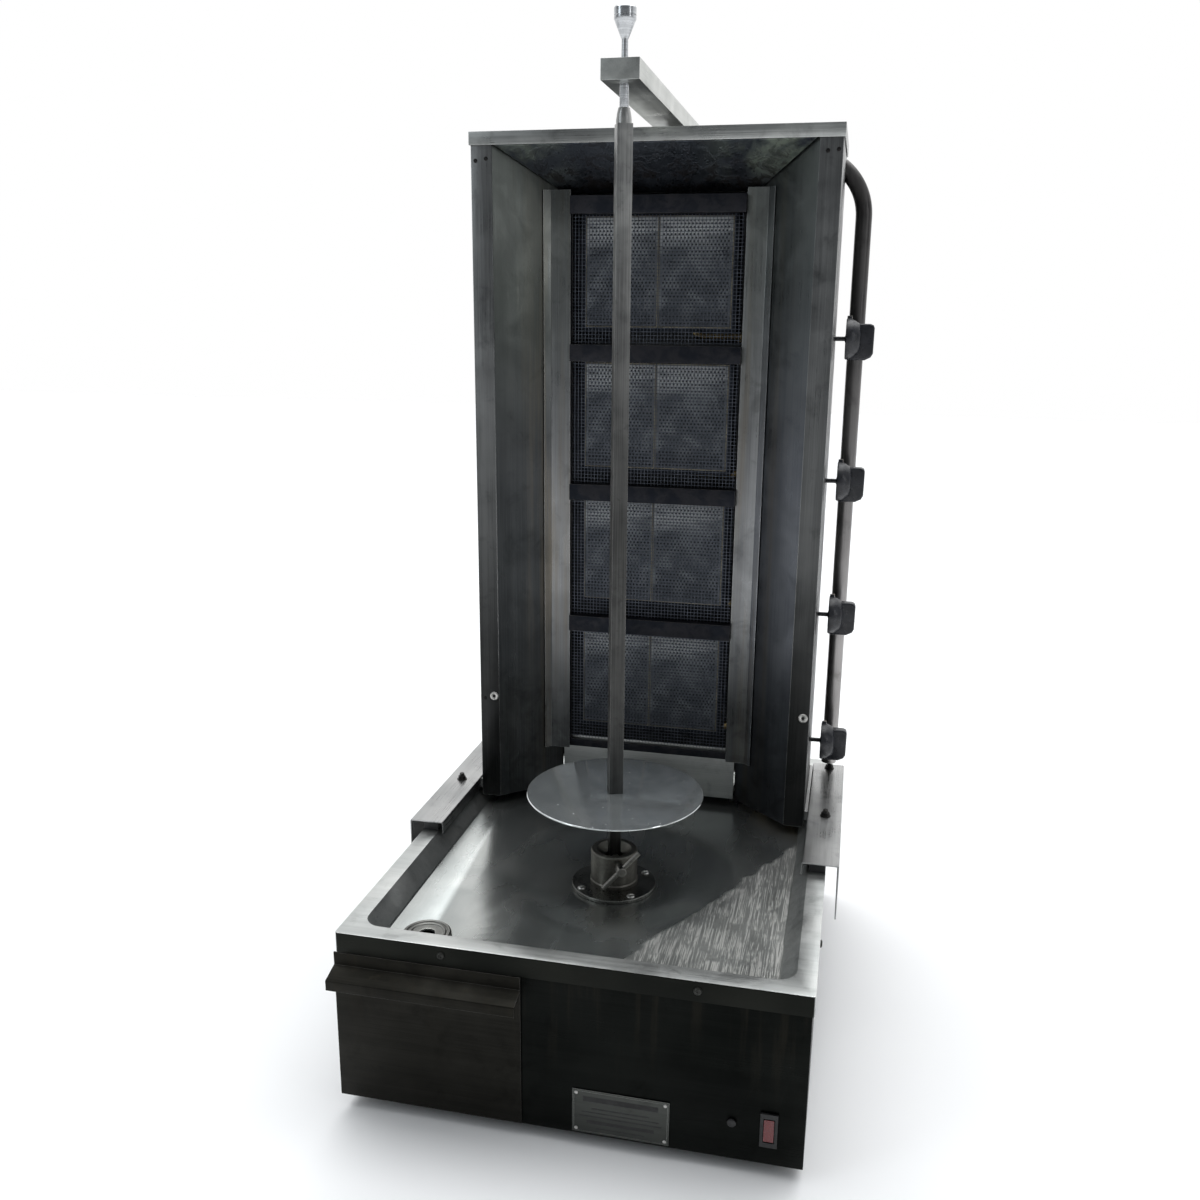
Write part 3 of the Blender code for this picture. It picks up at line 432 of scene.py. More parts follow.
def ceiling_look(f, colour, rough):
    """Burnt-on fat: brown blots and drips towards the burners, and a pale painted sheen in patches at the
    ends of the front edge.
    """
    back = f.band(f.y, 0.085, 0.135)
    ends = f.band(f.math("ABSOLUTE", f.plus(f.x, 0.02)), 0.06, 0.16)
    patchy = f.band(f.noise(0.04, detail=5.0, bend=0.5), 0.34, 0.60)
    # painted sheen in patches at the ends of the front edge
    sheen_patches = f.times(ends, patchy, f.band(f.y, 0.145, 0.110))
    colour = f.lay(colour, (0.230, 0.262, 0.218), sheen_patches, 0.9)
    blots = f.band(f.noise(0.018, detail=6.0, rough=0.7, bend=0.9), 0.46, 0.60)
    colour = f.lay(colour, (0.022, 0.018, 0.016), blots, f.plus(0.35, f.times(back, 0.5)))
    drips = f.specks(0.009, 0.10, 0.24)
    colour = f.lay(colour, (0.008, 0.007, 0.006), drips, back, 0.8)
    f.bump(blots, 0.0004, 0.6)
    f.bump(drips, 0.0005, 0.6)
    return colour, f.plus(rough, f.times(blots, 0.15), clamp=True)


def oxide(name, dark, brown, rough=0.62, size=0.012, shine=0.5, sooty_above=9.0):
    """Steel burnt dark: brown-black scale with bare metal along the edges."""
    f = Finish(name, 0.85, rough)
    patch = f.band(f.noise(size, detail=6.0, rough=0.65, bend=0.5), 0.36, 0.62)
    colour = f.mix(patch, dark, brown)
    pits = f.specks(size * 0.3, 0.08, 0.25)
    colour = f.lay(colour, scaled(dark, 0.4), pits, 0.4)
    edge = f.edges(0.0010)
    shine = f.times(f.band(f.z, sooty_above, sooty_above + 0.01, shine, shine * 0.15), edge)
    colour = f.mix(shine, colour, (0.26, 0.25, 0.23))
    f.bump(patch, 0.0002, 0.5)
    f.bump(f.noise(size * 0.2, detail=3.0), 0.0001, 0.5)
    return f.done(colour, f.band(f.noise(size * 2, detail=3.0), 0.3, 0.7, rough - 0.12, rough + 0.12))


def polished(name, dark, light, rough=0.12, turned=None, streak=None, height_shading=None):
    """Polished or turned steel with fine marks round an axis or along the piece."""
    f = Finish(name, 1.0, rough)
    cloud = f.band(f.noise(0.05, detail=4.0, bend=0.6), 0.32, 0.68)
    colour = f.mix(cloud, dark, light)
    if turned:
        rings = f.noise(turned, (0.02, 0.02, 1), detail=3.0)
    else:
        rings = f.noise(0.0014, streak or ALONG_Z, detail=3.0)
    colour = f.mix(f.band(rings, 0.40, 0.66, 0.0, 0.45), colour, scaled(light, 1.5))
    stains = f.band(f.noise(0.012, detail=5.0, rough=0.65), 0.56, 0.72)
    colour = f.lay(colour, scaled(dark, 0.45), stains, 0.35)
    # painted light and shade by height
    if height_shading:
        colour = f.mix(1.0, colour, f.band(f.z, *height_shading), "MULTIPLY")
    edge = f.edges(0.0010)
    colour = f.lay(colour, (0.75, 0.75, 0.73), edge, 0.35)
    f.bump(rings, 0.00005, 0.5)
    smear = f.band(f.noise(0.03, detail=4.0, bend=0.8), 0.34, 0.70, rough - 0.03, rough + 0.14)
    return f.done(colour, smear)


def disc_look(name):
    """Mirror-finished disc: circular polishing lines, fat smears and a few droplets."""
    f = Finish(name, 0.87, 0.14)
    dx, dy = f.minus(f.x, SPIT.x), f.minus(f.y, SPIT.y)
    radius = f.math("SQRT", f.plus(f.times(dx, dx), f.times(dy, dy)))
    rings = f.add("ShaderNodeTexNoise", noise_dimensions="1D")
    f.join(f.times(radius, 900.0), rings.inputs["W"])
    rings.inputs["Detail"].default_value = 3.0
    cloud = f.band(f.noise(0.045, detail=5.0, rough=0.6, bend=0.9), 0.34, 0.66)
    colour = f.mix(cloud, (0.70, 0.755, 0.765), (0.84, 0.885, 0.89))
    colour = f.mix(f.band(rings.outputs["Fac"], 0.42, 0.62, 0.0, 0.25), colour, (0.90, 0.93, 0.93))
    drops = f.specks(0.016, 0.03, 0.06)
    colour = f.lay(colour, (0.78, 0.80, 0.80), drops, 0.5)
    rim = f.band(radius, 0.0985, 0.1020)
    colour = f.lay(colour, (0.74, 0.76, 0.76), rim, 0.6)
    f.bump(rings.outputs["Fac"], 0.00004, 0.4)
    f.bump(drops, 0.0002, 0.5)
    f.bump(f.noise(0.06, detail=1.0), 0.0004, 0.6)
    smear = f.band(f.noise(0.03, (1, 0.5, 1), detail=5.0, bend=1.0), 0.36, 0.70, 0.07, 0.17)
    return f.done(colour, f.plus(smear, f.times(drops, 0.25)))


def plastic(name, colour, rough=0.35, dust=(0.10, 0.095, 0.085), coat=0.0, grain=0.0006, rub=0.30):
    """Moulded plastic with a fine texture, greasy dust and rubbed edges."""
    f = Finish(name, 0.0, rough, coat)
    cloud = f.band(f.noise(0.012, detail=5.0, bend=0.4), 0.42, 0.72)
    base = f.lay(colour, dust, cloud, 0.22)
    edge = f.edges(0.0012)
    base = f.lay(base, scaled(colour, 2.5, 0.05), edge, rub)
    f.bump(f.noise(grain, detail=2.0), 0.00005, 0.5)
    return f.done(base, f.band(f.noise(0.006, detail=4.0), 0.35, 0.7, rough - 0.06, rough + 0.16))


def plaque_look(name, face_y):
    """Aged ceramic tile: sooty grey faces, pits painted near black as shade, and a chalky band along the
    top where the soot has burnt off.
    """
    f = Finish(name, 0.0, 0.85, specular=0.3)
    pit = f.band(f.y, face_y + 0.0001, face_y + 0.0008)
    patch = f.band(f.noise(0.030, detail=4.0, bend=0.6), 0.40, 0.64)
    base = f.mix(patch, (0.090, 0.100, 0.112), (0.200, 0.215, 0.230))
    chalk = f.times(f.band(f.z, 0.022, 0.048), f.band(f.noise(0.02, (0.3, 1, 1), detail=3.0), 0.30, 0.58))
    base = f.lay(base, (0.56, 0.58, 0.59), chalk, 0.75)
    base = f.mix(f.band(f.z, -0.030, -0.056, 0.0, 0.6), base, (0.040, 0.045, 0.055))
    grime = f.band(f.noise(0.014, detail=6.0, rough=0.7), 0.54, 0.72)
    base = f.lay(base, (0.045, 0.042, 0.042), grime, 0.35)
    # painted shade in the pits
    base = f.lay(base, (0.008, 0.009, 0.012), pit, 0.95)
    f.bump(f.noise(0.0012, detail=3.0), 0.0001, 0.7)
    return f.done(base, f.band(f.noise(0.02, detail=3.0), 0.3, 0.7, 0.72, 0.95))


def painted(name, colour, rough=0.5, flake=(0.25, 0.24, 0.22)):
    f = Finish(name, 0.0, rough)
    cloud = f.band(f.noise(0.03, detail=5.0), 0.35, 0.7)
    base = f.mix(cloud, colour, scaled(colour, 1.8))
    edge = f.edges(0.0014)
    chips = f.times(edge, f.band(f.noise(0.004, detail=4.0), 0.45, 0.60))
    base = f.mix(chips, base, flake)
    f.bump(f.noise(0.0009, detail=2.0), 0.0001, 0.5)
    return f.done(base, f.band(f.noise(0.01, detail=3.0), 0.3, 0.7, rough - 0.1, rough + 0.12))


def floor_look():
    f = Finish("studio_floor", 0.0, 0.75, specular=0.2)
    base = f.mix(f.band(f.noise(0.8, detail=3.0), 0.3, 0.7), (0.86, 0.86, 0.86), (0.90, 0.90, 0.90))
    base = f.mix(f.band(f.y, 0.6, 3.5), base, (1.0, 1.0, 1.0))
    f.bump(f.noise(0.01, detail=2.0), 0.0002, 0.2)
    return f.done(base, f.band(f.noise(0.3, detail=2.0), 0.3, 0.7, 0.70, 0.82))


EVEN = (1, 1, 1)                                     # no grain direction
DARK = steel("fascia_steel", (0.0040, 0.0046, 0.0042), (0.0090, 0.0098, 0.0090), 0.40, ALONG_X, 0.0012,
             0.22, 0.10, 0.60, 0.0003, extra=fascia_look)
DRAWER = steel("drawer_steel", (0.0095, 0.0093, 0.0078), (0.0200, 0.0192, 0.0165), 0.42, ALONG_X, 0.0011,
               0.28, 0.12, 0.75, 0.0003, extra=fascia_look)
TRAY = steel("tray_steel", (0.36, 0.375, 0.368), (0.50, 0.505, 0.49), 0.36, ALONG_X, 0.0011, 0.18, 0.10,
             0.75, 0.0003, metallic=0.93, extra=tray_look, rim=0.0016)
TOWER = steel("tower_steel_look", (0.082, 0.085, 0.088), (0.148, 0.152, 0.154), 0.36, ALONG_Z, 0.0014,
              0.34, 0.12, 0.45, 0.0005, tint_and_shade=tower_tint_and_shade, height_shading=(0.22, 0.80, 0.48, 1.0))
STRIP = steel("strip_steel", (0.165, 0.169, 0.173), (0.260, 0.264, 0.267), 0.34, ALONG_Z, 0.0014, 0.30,
              0.12, 0.75, 0.0004, tint_and_shade=tower_tint_and_shade, height_shading=(0.22, 0.80, 0.75, 1.0))
TOWER_OUT = steel("casing_steel_look", (0.110, 0.113, 0.113), (0.180, 0.183, 0.182), 0.36, ALONG_Z,
                  0.0013, 0.30, 0.12, 0.75, 0.0005, height_shading=(0.38, 0.80, 0.20, 1.05), rim=0.0018)
CAP = steel("cap_steel", (0.23, 0.235, 0.228), (0.34, 0.345, 0.335), 0.34, ALONG_X, 0.0012, 0.30, 0.12,
            0.5, tint_and_shade=cap_lip_light)
PANEL = steel("panel_steel", (0.31, 0.32, 0.315), (0.43, 0.435, 0.425), 0.40, ALONG_X, 0.0013, 0.30,
              0.12, 0.1)
CEILING = steel("ceiling_steel", (0.036, 0.041, 0.052), (0.072, 0.080, 0.092), 0.46, ALONG_X, 0.0014,
                0.20, 0.15, 0.45, extra=ceiling_look)
ARM = steel("arm_steel", (0.34, 0.355, 0.34), (0.50, 0.51, 0.49), 0.34, ALONG_Y, 0.0010, 0.25, 0.10, 0.4)
COLUMN = steel("column_steel", (0.22, 0.225, 0.22), (0.34, 0.34, 0.33), 0.36, ALONG_Z, 0.0012, 0.25,
               0.10, 0.4)
SADDLE = steel("saddle_steel", (0.24, 0.245, 0.245), (0.38, 0.38, 0.375), 0.32, ALONG_Y, 0.0010, 0.22,
               0.10, 0.4)
SOCKET = steel("socket_steel", (0.095, 0.091, 0.081), (0.175, 0.168, 0.150), 0.42, EVEN, 0.004, 0.35,
               0.15, 0.5, 0.0001)
TOMMY = steel("tommy_steel", (0.130, 0.125, 0.115), (0.230, 0.222, 0.205), 0.36, EVEN, 0.003, 0.30,
              0.12, 0.4, 0.0001)
FLANGE = steel("flange_steel", (0.095, 0.096, 0.090), (0.160, 0.160, 0.150), 0.34, EVEN, 0.003, 0.30,
               0.12, 1.0, 0.0001)
TUBE = steel("guard_steel", (0.105, 0.101, 0.099), (0.155, 0.149, 0.146), 0.36, ALONG_Z, 0.0016, 0.25,
             0.12, 0.35, 0.0001, height_shading=(0.40, 0.92, 2.1, 0.62))
SCREW = polished("screw_steel", (0.34, 0.335, 0.32), (0.52, 0.51, 0.49), 0.30)
DULL_SCREW = steel("dull_screw", (0.030, 0.031, 0.028), (0.055, 0.056, 0.052), 0.42, EVEN, 0.002, 0.2,
                   0.1, 0.6, 0.0)
BLACK_BOLT = oxide("blackened_bolt", (0.012, 0.012, 0.013), (0.030, 0.028, 0.026), 0.45, 0.004, 0.35)
SKEWER = polished("skewer_steel", (0.155, 0.155, 0.152), (0.235, 0.235, 0.228), 0.34,
                  height_shading=(0.58, 1.05, 0.26, 1.60))
PIN = polished("pin_steel", (0.30, 0.31, 0.32), (0.48, 0.49, 0.50), 0.22, turned=0.0010)
DISC = disc_look("disc_steel")
BURNT = oxide("burnt_frame", (0.010, 0.012, 0.017), (0.024, 0.024, 0.028), 0.55, 0.020, 0.65,
              BURNERS[0][1].z - 0.01)
HOUSING = oxide("burner_housing", (0.008, 0.010, 0.015), (0.018, 0.021, 0.028), 0.62, 0.016, 0.2)
BEZEL = oxide("plaque_bezel_look", (0.130, 0.118, 0.092), (0.270, 0.245, 0.190), 0.50, 0.020, 0.4)
WIRE = oxide("guard_wire", (0.050, 0.058, 0.076), (0.095, 0.106, 0.130), 0.38, 0.010, 0.1)
PLAQUE = plaque_look("ceramic_plaque", BURNERS[0][0].y + 0.0004)
KNOB = plastic("knob_plastic", (0.006, 0.007, 0.011), 0.32, dust=(0.045, 0.048, 0.060))
BLACK = plastic("black_plastic_look", (0.014, 0.014, 0.015), 0.38)
RED = plastic("red_rocker", (0.13, 0.008, 0.010), 0.24, dust=(0.12, 0.03, 0.03), coat=0.4)
JET = plastic("jet_plastic", (0.004, 0.004, 0.0045), 0.45, dust=(0.02, 0.02, 0.02), rub=0.05)
MARK = plastic("index_paint", (0.50, 0.44, 0.38), 0.55)
RUBBER = plastic("foot_rubber", (0.018, 0.018, 0.018), 0.75, grain=0.001)
BRASS = polished("aged_brass", (0.34, 0.24, 0.10), (0.52, 0.39, 0.18), 0.34)
MOTOR = painted("motor_paint_look", (0.035, 0.040, 0.045))
PLATE = steel("plate_aluminium", (0.040, 0.043, 0.040), (0.070, 0.073, 0.068), 0.36, ALONG_X, 0.0008,
              0.20, 0.08, 1.0, 0.0001)
PLATE_INK = plastic("plate_ink", (0.006, 0.006, 0.006), 0.5, dust=(0.02, 0.02, 0.02))

# ---- CAD nodes that stay: hidden or internal pieces get their finishes ---------------------------
KEPT = {
    "base_floor": DARK, "drawer_rail_left": DARK, "drawer_rail_right": DARK, "motor_bracket": DARK,
    "gearmotor": MOTOR, "drive_shaft": SKEWER, "gas_manifold": BRASS, "runner_left": BLACK,
    "runner_right": BLACK,
}
for node, look in KEPT.items():
    NODES[node].data.materials[0] = look

# ---- CAD shapes made again with rounded edges ----------------------------------------------------
REFINED = (                       # finish, edge radius, bevel segments, smooth angle, nodes
    (DARK, 0.0005, 2, 30, ["base_shell"]),
    (DRAWER, 0.0004, 2, 30, ["drawer_front", "drawer_pan"]),
    (TRAY, 0.0005, 2, 32, ["drip_tray"]),
    (TOWER_OUT, 0.0005, 2, 30, ["tower_casing"]),
    (TOWER_OUT, 0.0004, 2, 30, ["tower_back_cover"]),
    (CAP, 0.0004, 2, 30, ["tower_cap"]),
    (CEILING, 0.0003, 2, 30, ["ceiling_panel"]),
    (TOWER, 0.0003, 2, 30, ["wing_left", "wing_right"]),
    (STRIP, 0.0003, 2, 30, ["strip_left", "strip_right"]),
    (PANEL, 0.0003, 2, 30, ["lower_back_panel"]),
    (BURNT, 0.0004, 2, 30, ["burner_frame"]),
    (ARM, 0.0016, 3, 30, ["top_arm"]),
    (COLUMN, 0.0012, 3, 30, ["rear_column"]),
    (FLANGE, 0.0004, 2, 35, ["bearing_flange"]),
    (SOCKET, 0.0004, 2, 35, ["drive_socket"]),
    (TOMMY, 0.0003, 2, 35, ["tommy_screw"]),
    (TOMMY, 0.0, 2, 35, ["tommy_bar"]),
    (SKEWER, 0.0005, 2, 35, ["skewer"]),
    (SKEWER, 0.0003, 2, 35, ["disc_collar"]),
    (RUBBER, 0.0006, 2, 35, [f"foot_{i}" for i in range(1, 5)]),
    (JET, 0.0005, 2, 30, ["switch_bezel"]),
    (RED, 0.0004, 2, 30, ["switch_rocker"]),
    (JET, 0.0002, 2, 40, ["panel_plug"]),
    (BLACK, 0.0005, 2, 40, ["cable_gland"]),
)
for look, edge, segments, smooth, members in REFINED:
    for node in members:
        refined(node, look, edge, segments, smooth)


# ---- fasteners -----------------------------------------------------------------------------------
def screw_mesh(name, radius, height, look, slot_width=0.0, cross=False):
    """A pan head with a driver slot or a cross recess, drawn on the XY plane."""
    bm = bmesh.new()
    dome = [(0, 0), (radius, 0), (radius, height * 0.25)]
    for k in range(1, 5):
        a = math.radians(90 * k / 5)
        dome.append((radius * (0.35 + 0.65 * math.cos(a)), height * (0.25 + 0.75 * math.sin(a))))
    dome.append((0.0, height))
    add_lathe(bm, dome, steps=28)
    mesh = to_mesh(name, bm, 50)
    mesh.materials.append(look)
    if not slot_width:
        return mesh
    head = bpy.data.objects.new(name + "_head", mesh)
    bpy.context.scene.collection.objects.link(head)
    tools = []
    reach = radius * (0.62 if cross else 1.2)
    for turn in (0.6, 0.6 + math.pi / 2) if cross else (0.6,):
        cut = bmesh.new()
        add_box(cut, (-reach, -slot_width / 2, height * 0.45), (reach, slot_width / 2, height * 1.5))
        bmesh.ops.rotate(cut, verts=cut.verts, matrix=Matrix.Rotation(turn, 3, "Z"))
        tool = bpy.data.objects.new(name + "_cut", to_mesh(name + "_cut", cut))
        bpy.context.scene.collection.objects.link(tool)
        tools.append(tool)
        slot = head.modifiers.new("slot", "BOOLEAN")
        slot.object, slot.operation, slot.solver = tool, "DIFFERENCE", "EXACT"
    bpy.context.view_layer.update()
    made = bpy.data.meshes.new_from_object(head.evaluated_get(bpy.context.evaluated_depsgraph_get()))
    made.name = name
    for obj in tools + [head]:
        bpy.data.objects.remove(obj, do_unlink=True)
    return made


PAN = screw_mesh("pan_screw", 0.0042, 0.0022, DULL_SCREW, 0.0009, cross=True)
SLOTTED = screw_mesh("slotted_screw", 0.0048, 0.0022, SCREW, 0.0013)
RIVET = screw_mesh("rivet", 0.0024, 0.0010, BLACK_BOLT)
PLATE_RIVET = screw_mesh("plate_rivet", 0.0019, 0.0009, SCREW)


def fasten(name, mesh, at, normal, body):
    """One fastener head standing on a surface point."""
    link(name, mesh, None, body).matrix_world = frame_matrix(at, normal)
    bpy.context.view_layer.update()


def fasten_all(name, mesh, places, normal, body, first=1):
    for i, at in enumerate(places):
        fasten(f"{name}_{i + first}", mesh, at, normal, body)


FRONTWARD, BACKWARD, LEFTWARD, RIGHTWARD, UPWARD = (0, -1, 0), (0, 1, 0), (-1, 0, 0), (1, 0, 0), (0, 0, 1)
skirt_z = RIM_Z - 0.0105
flange_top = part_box("bearing_flange")[1].z
fasten_all("skirt_screw", PAN, [(px, FRONT, skirt_z) for px in (-0.129, 0.133)], FRONTWARD, "base")
for side, px, outward in (("left", TRAY_LOW.x, LEFTWARD), ("right", TRAY_TOP.x, RIGHTWARD)):
    fasten_all(f"skirt_screw_{side}", PAN, [(px, py, skirt_z) for py in (-0.190, 0.270)], outward, "base")
bolt_turns = [math.radians(45 + 90 * i) - 0.10 for i in range(4)]
bolt_reach = 0.0425
fasten_all("flange_screw", SLOTTED, [(SPIT.x + bolt_reach * math.cos(t), SPIT.y + bolt_reach * math.sin(t),
                                      flange_top) for t in bolt_turns], UPWARD, "base")

flange_face = CASE_LOW.y
rivets = ((-0.2075, 1.0017), (-0.1947, 1.0037), (0.1967, 1.0048), (0.2084, 1.0059), (-0.2077, 0.3399),
          (0.198, 0.3479))
fasten_all("flange_rivet", RIVET, [(px, flange_face, pz) for px, pz in rivets], FRONTWARD, "tower")
washer = bmesh.new()
add_lathe(washer, [(0.0018, 0), (0.0058, 0), (0.0058, 0.0006), (0.0046, 0.0013), (0.0034, 0.0009),
                   (0.0018, 0.0006)], steps=36)
WASHER = to_mesh("cup_washer", washer, 60)
WASHER.materials.append(SCREW)
for i, (px, pz) in enumerate(((-0.1947, 0.3438), (0.2053, 0.3486))):
    fasten(f"cup_washer_{i + 1}", WASHER, (px, flange_face, pz), FRONTWARD, "tower")
    fasten(f"cup_screw_{i + 1}", RIVET, (px, flange_face - 0.0001, pz), FRONTWARD, "tower")

cover_low, cover_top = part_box("tower_back_cover")
levels = (cover_low.z + 0.010, (cover_low.z * 2 + cover_top.z) / 3, (cover_low.z + cover_top.z * 2) / 3,
          cover_top.z - 0.010)
fasten_all("cover_screw", PAN, [(px, cover_top.y, pz) for pz in levels
                                for px in (cover_low.x + 0.008, cover_top.x - 0.008)],
           BACKWARD, "tower")
louvres = bmesh.new()                                # vents pressed out of the back cover
back = cover_top.y
for i in range(9):
    pz = cover_top.z - 0.085 - 0.017 * i
    for px in (-0.150, 0.050):
        add_prism(louvres, [(back - 0.0002, pz), (back + 0.0034, pz), (back + 0.0036, pz + 0.0008),
                            (back - 0.0002, pz + 0.0090)], "X", px, px + 0.100)
round_edges(louvres, 0.0003, 1)
finished("cover_louvres", louvres, 30, TOWER_OUT, "tower")
bolt_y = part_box("rear_column")[0].y + 0.0038
fasten_all("column_bolt", PAN, [(px, bolt_y, pz) for pz in (0.060, 0.165) for px in (-0.036, 0.036)],
           BACKWARD, "base")


# ---- disc, pin and drain: turned pieces ----------------------------------------------------------
def make_disc():
    """Polished disc with a rolled edge and a square hole for the skewer."""
    radius, low, top, steps = (DISC_TOP.x - DISC_LOW.x) / 2, DISC_LOW.z, DISC_TOP.z, 192
    hole = 0.0083                        # half the side of the square hole
    edge = (top - low) / 2
    levels = [(radius - edge, low), (radius - edge * 0.3, low + edge * 0.3), (radius, low + edge),
              (radius - edge * 0.3, top - edge * 0.3), (radius - edge, top)]
    bm = bmesh.new()
    rings = [[bm.verts.new(p) for p in circle(r, h, steps, SPIT.x, SPIT.y)] for r, h in levels]
    for h in (top, low):
        ring = []
        for k in range(steps):
            a = 2 * math.pi * k / steps
            local = a - SPIT_TURN
            reach = hole / max(abs(math.cos(local)), abs(math.sin(local)))
            ring.append(bm.verts.new((SPIT.x + reach * math.cos(a), SPIT.y + reach * math.sin(a), h)))
        rings.append(ring)
    for lower, upper in zip(rings, rings[1:] + rings[:1]):
        skin(bm, lower, upper)
    finished("disc_fine", bm, 40, DISC, "spit", stands_for=("meat_disc",))


def make_pin():
    """Lift pin: a smooth turned knob over a cone, a thin neck, and the stem that enters the skewer."""
    bottom, head = (corner.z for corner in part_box("top_pin"))
    profile = [(0, bottom), (0.0036, bottom), (0.0046, bottom + 0.0018)]
    profile += [(r, head - down) for r, down in (
        (0.0047, 0.0480), (0.0034, 0.0466), (0.0032, 0.0292), (0.0040, 0.0280), (0.0106, 0.0124),
        (0.0111, 0.0112), (0.0111, 0.0094), (0.0106, 0.0090), (0.0106, 0.0084), (0.0111, 0.0080),
        (0.0111, 0.0014), (0.0101, 0), (0.0060, 0), (0.0056, 0.0006), (0, 0.0006))]
    bm = bmesh.new()
    add_lathe(bm, profile, Matrix.Translation((SPIT.x, SPIT.y, 0)), 56)
    finished("pin_fine", bm, 30, PIN, "pin", stands_for=("top_pin",))


def make_drain():
    """Drain ring with two pressed beads round its hole, trimmed straight at the tray's front fold."""
    low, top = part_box("drain_ring")
    cx, base = (low.x + top.x) / 2, low.z
    cy = top.y - (top.x - low.x) / 2
    trim = low.y
    bead = [(0.0088, 0.0002), (0.0262, 0.0), (0.0262, 0.0012)]
    for mid, wide, high in ((0.0236, 0.0020, 0.0014), (0.0186, 0.0022, 0.0012)):
        for k in range(7):
            a = math.pi * k / 6
            bead.append((mid + wide * math.cos(a), 0.0010 + high * math.sin(a)))
    bead += [(0.0120, 0.0010), (0.0100, 0.0008), (0.0088, 0.0006)]
    bm = bmesh.new()
    add_lathe(bm, bead, Matrix.Translation((cx, cy, base)), 96)
    for v in bm.verts:
        v.co.y = max(v.co.y, trim)
    bmesh.ops.dissolve_degenerate(bm, dist=1e-6, edges=bm.edges)
    finished("drain_fine", bm, 50, FLANGE, "base", stands_for=("drain_ring",))


make_disc()
make_pin()
make_drain()


# ---- guard tube ----------------------------------------------------------------------------------
def make_guard_tube():
    """Round side guard: straight up from the saddle's bolt, then bent in through the casing."""
    low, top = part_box("side_guard_tube")
    radius, bend, sweep, steps = 0.010, 0.073, math.radians(54), 28
    cx, cy, z_bend = top.x - radius, (low.y + top.y) / 2, 0.9470
    path = [(cx, cy, low.z + 0.0002 + (z_bend - low.z - 0.0002) * k / 16) for k in range(16)]
    for k in range(steps + 1):
        a = sweep * k / steps
        path.append((cx - bend * (1 - math.cos(a)), cy, z_bend + bend * math.sin(a)))
    bm = bmesh.new()
    add_sweep(bm, path, radius * 0.995, 40)
    finished("guard_tube_fine", bm, 50, TUBE, "tower", stands_for=("side_guard_tube",))


make_guard_tube()


# ---- burners: perforated plaques, bezels and woven guards ----------------------------------------
PIT_X, PIT_Z = 0.0046, 0.0040          # spacing of the plaque's pits
WINDOW = (0.0012, 0.0890, 0.0635)      # inner x, outer x and half height of one plaque's window


def pit_depth(px, pz):
    """Depth of the nearest pit of a staggered pattern, from 0 on the lands to 1 in a pit."""
    row = round(pz / PIT_Z)
    shift = 0.5 if row % 2 else 0.0
    column = round(px / PIT_X - shift) + shift
    away = math.hypot(px - column * PIT_X, (pz - row * PIT_Z) * 1.05)
    return max(0.0, min(1.0, (0.0019 - away) / 0.0011))


def make_plaques():
    """One ceramic tile mesh, shared by the eight plaques."""
    inner, outer, half = WINDOW
    width, height = outer - inner - 0.0006, half * 2 - 0.0006
    step = 0.00077
    nx, nz = int(width / step), int(height / step)
    face = BURNERS[0][0].y + 0.0004
    bm = bmesh.new()
    grid = []
    for j in range(nz + 1):
        pz = -height / 2 + height * j / nz
        row = []
        for i in range(nx + 1):
            px = -width / 2 + width * i / nx
            margin = min(width / 2 - abs(px), height / 2 - abs(pz))
            deep = pit_depth(px, pz) if margin > 0.0025 else 0.0
            row.append(bm.verts.new((px, face + 0.0009 * deep, pz)))
        grid.append(row)
    for j in range(nz):
        for i in range(nx):
            bm.faces.new((grid[j][i], grid[j][i + 1], grid[j + 1][i + 1], grid[j + 1][i]))
    rim = [e for e in bm.edges if e.is_boundary]
    grown = bmesh.ops.extrude_edge_only(bm, edges=rim)["geom"]
    for g in grown:
        if isinstance(g, bmesh.types.BMVert):
            g.co.y = face + 0.0011
    mesh = to_mesh("plaque_tile", bm, 60)
    for i, mid in enumerate(BURNER_Z):
        for side, s in (("left", -1), ("right", 1)):
            at = (s * (inner + outer) / 2, 0, mid)
            link(f"plaque_{i + 1}_{side}", mesh, PLAQUE, "tower", at)


def make_bezels():
    """Thin pressed rims round the two windows of each burner, meeting at the middle seam."""
    inner, outer, half = WINDOW
    face = BURNERS[0][0].y
    t, proud = 0.0016, 0.0005
    bm = bmesh.new()
    for s in (-1, 1):
        seam = inner - 0.0010
        spans = [(seam, -half, inner + 0.0003, half), (outer, -half - t, outer + t, half + t),
                 (seam, half, outer, half + t), (seam, -half - t, outer, -half)]
        for x0, z0, x1, z1 in spans:
            add_box(bm, (min(s * x0, s * x1), face - proud, z0),
                    (max(s * x0, s * x1), face - 0.00005, z1))
    round_edges(bm, 0.00018, 1)
    mesh = to_mesh("plaque_bezel", bm, 40)
    for i, mid in enumerate(BURNER_Z):
        link(f"plaque_bezel_{i + 1}", mesh, BEZEL, "tower", (0, 0, mid))


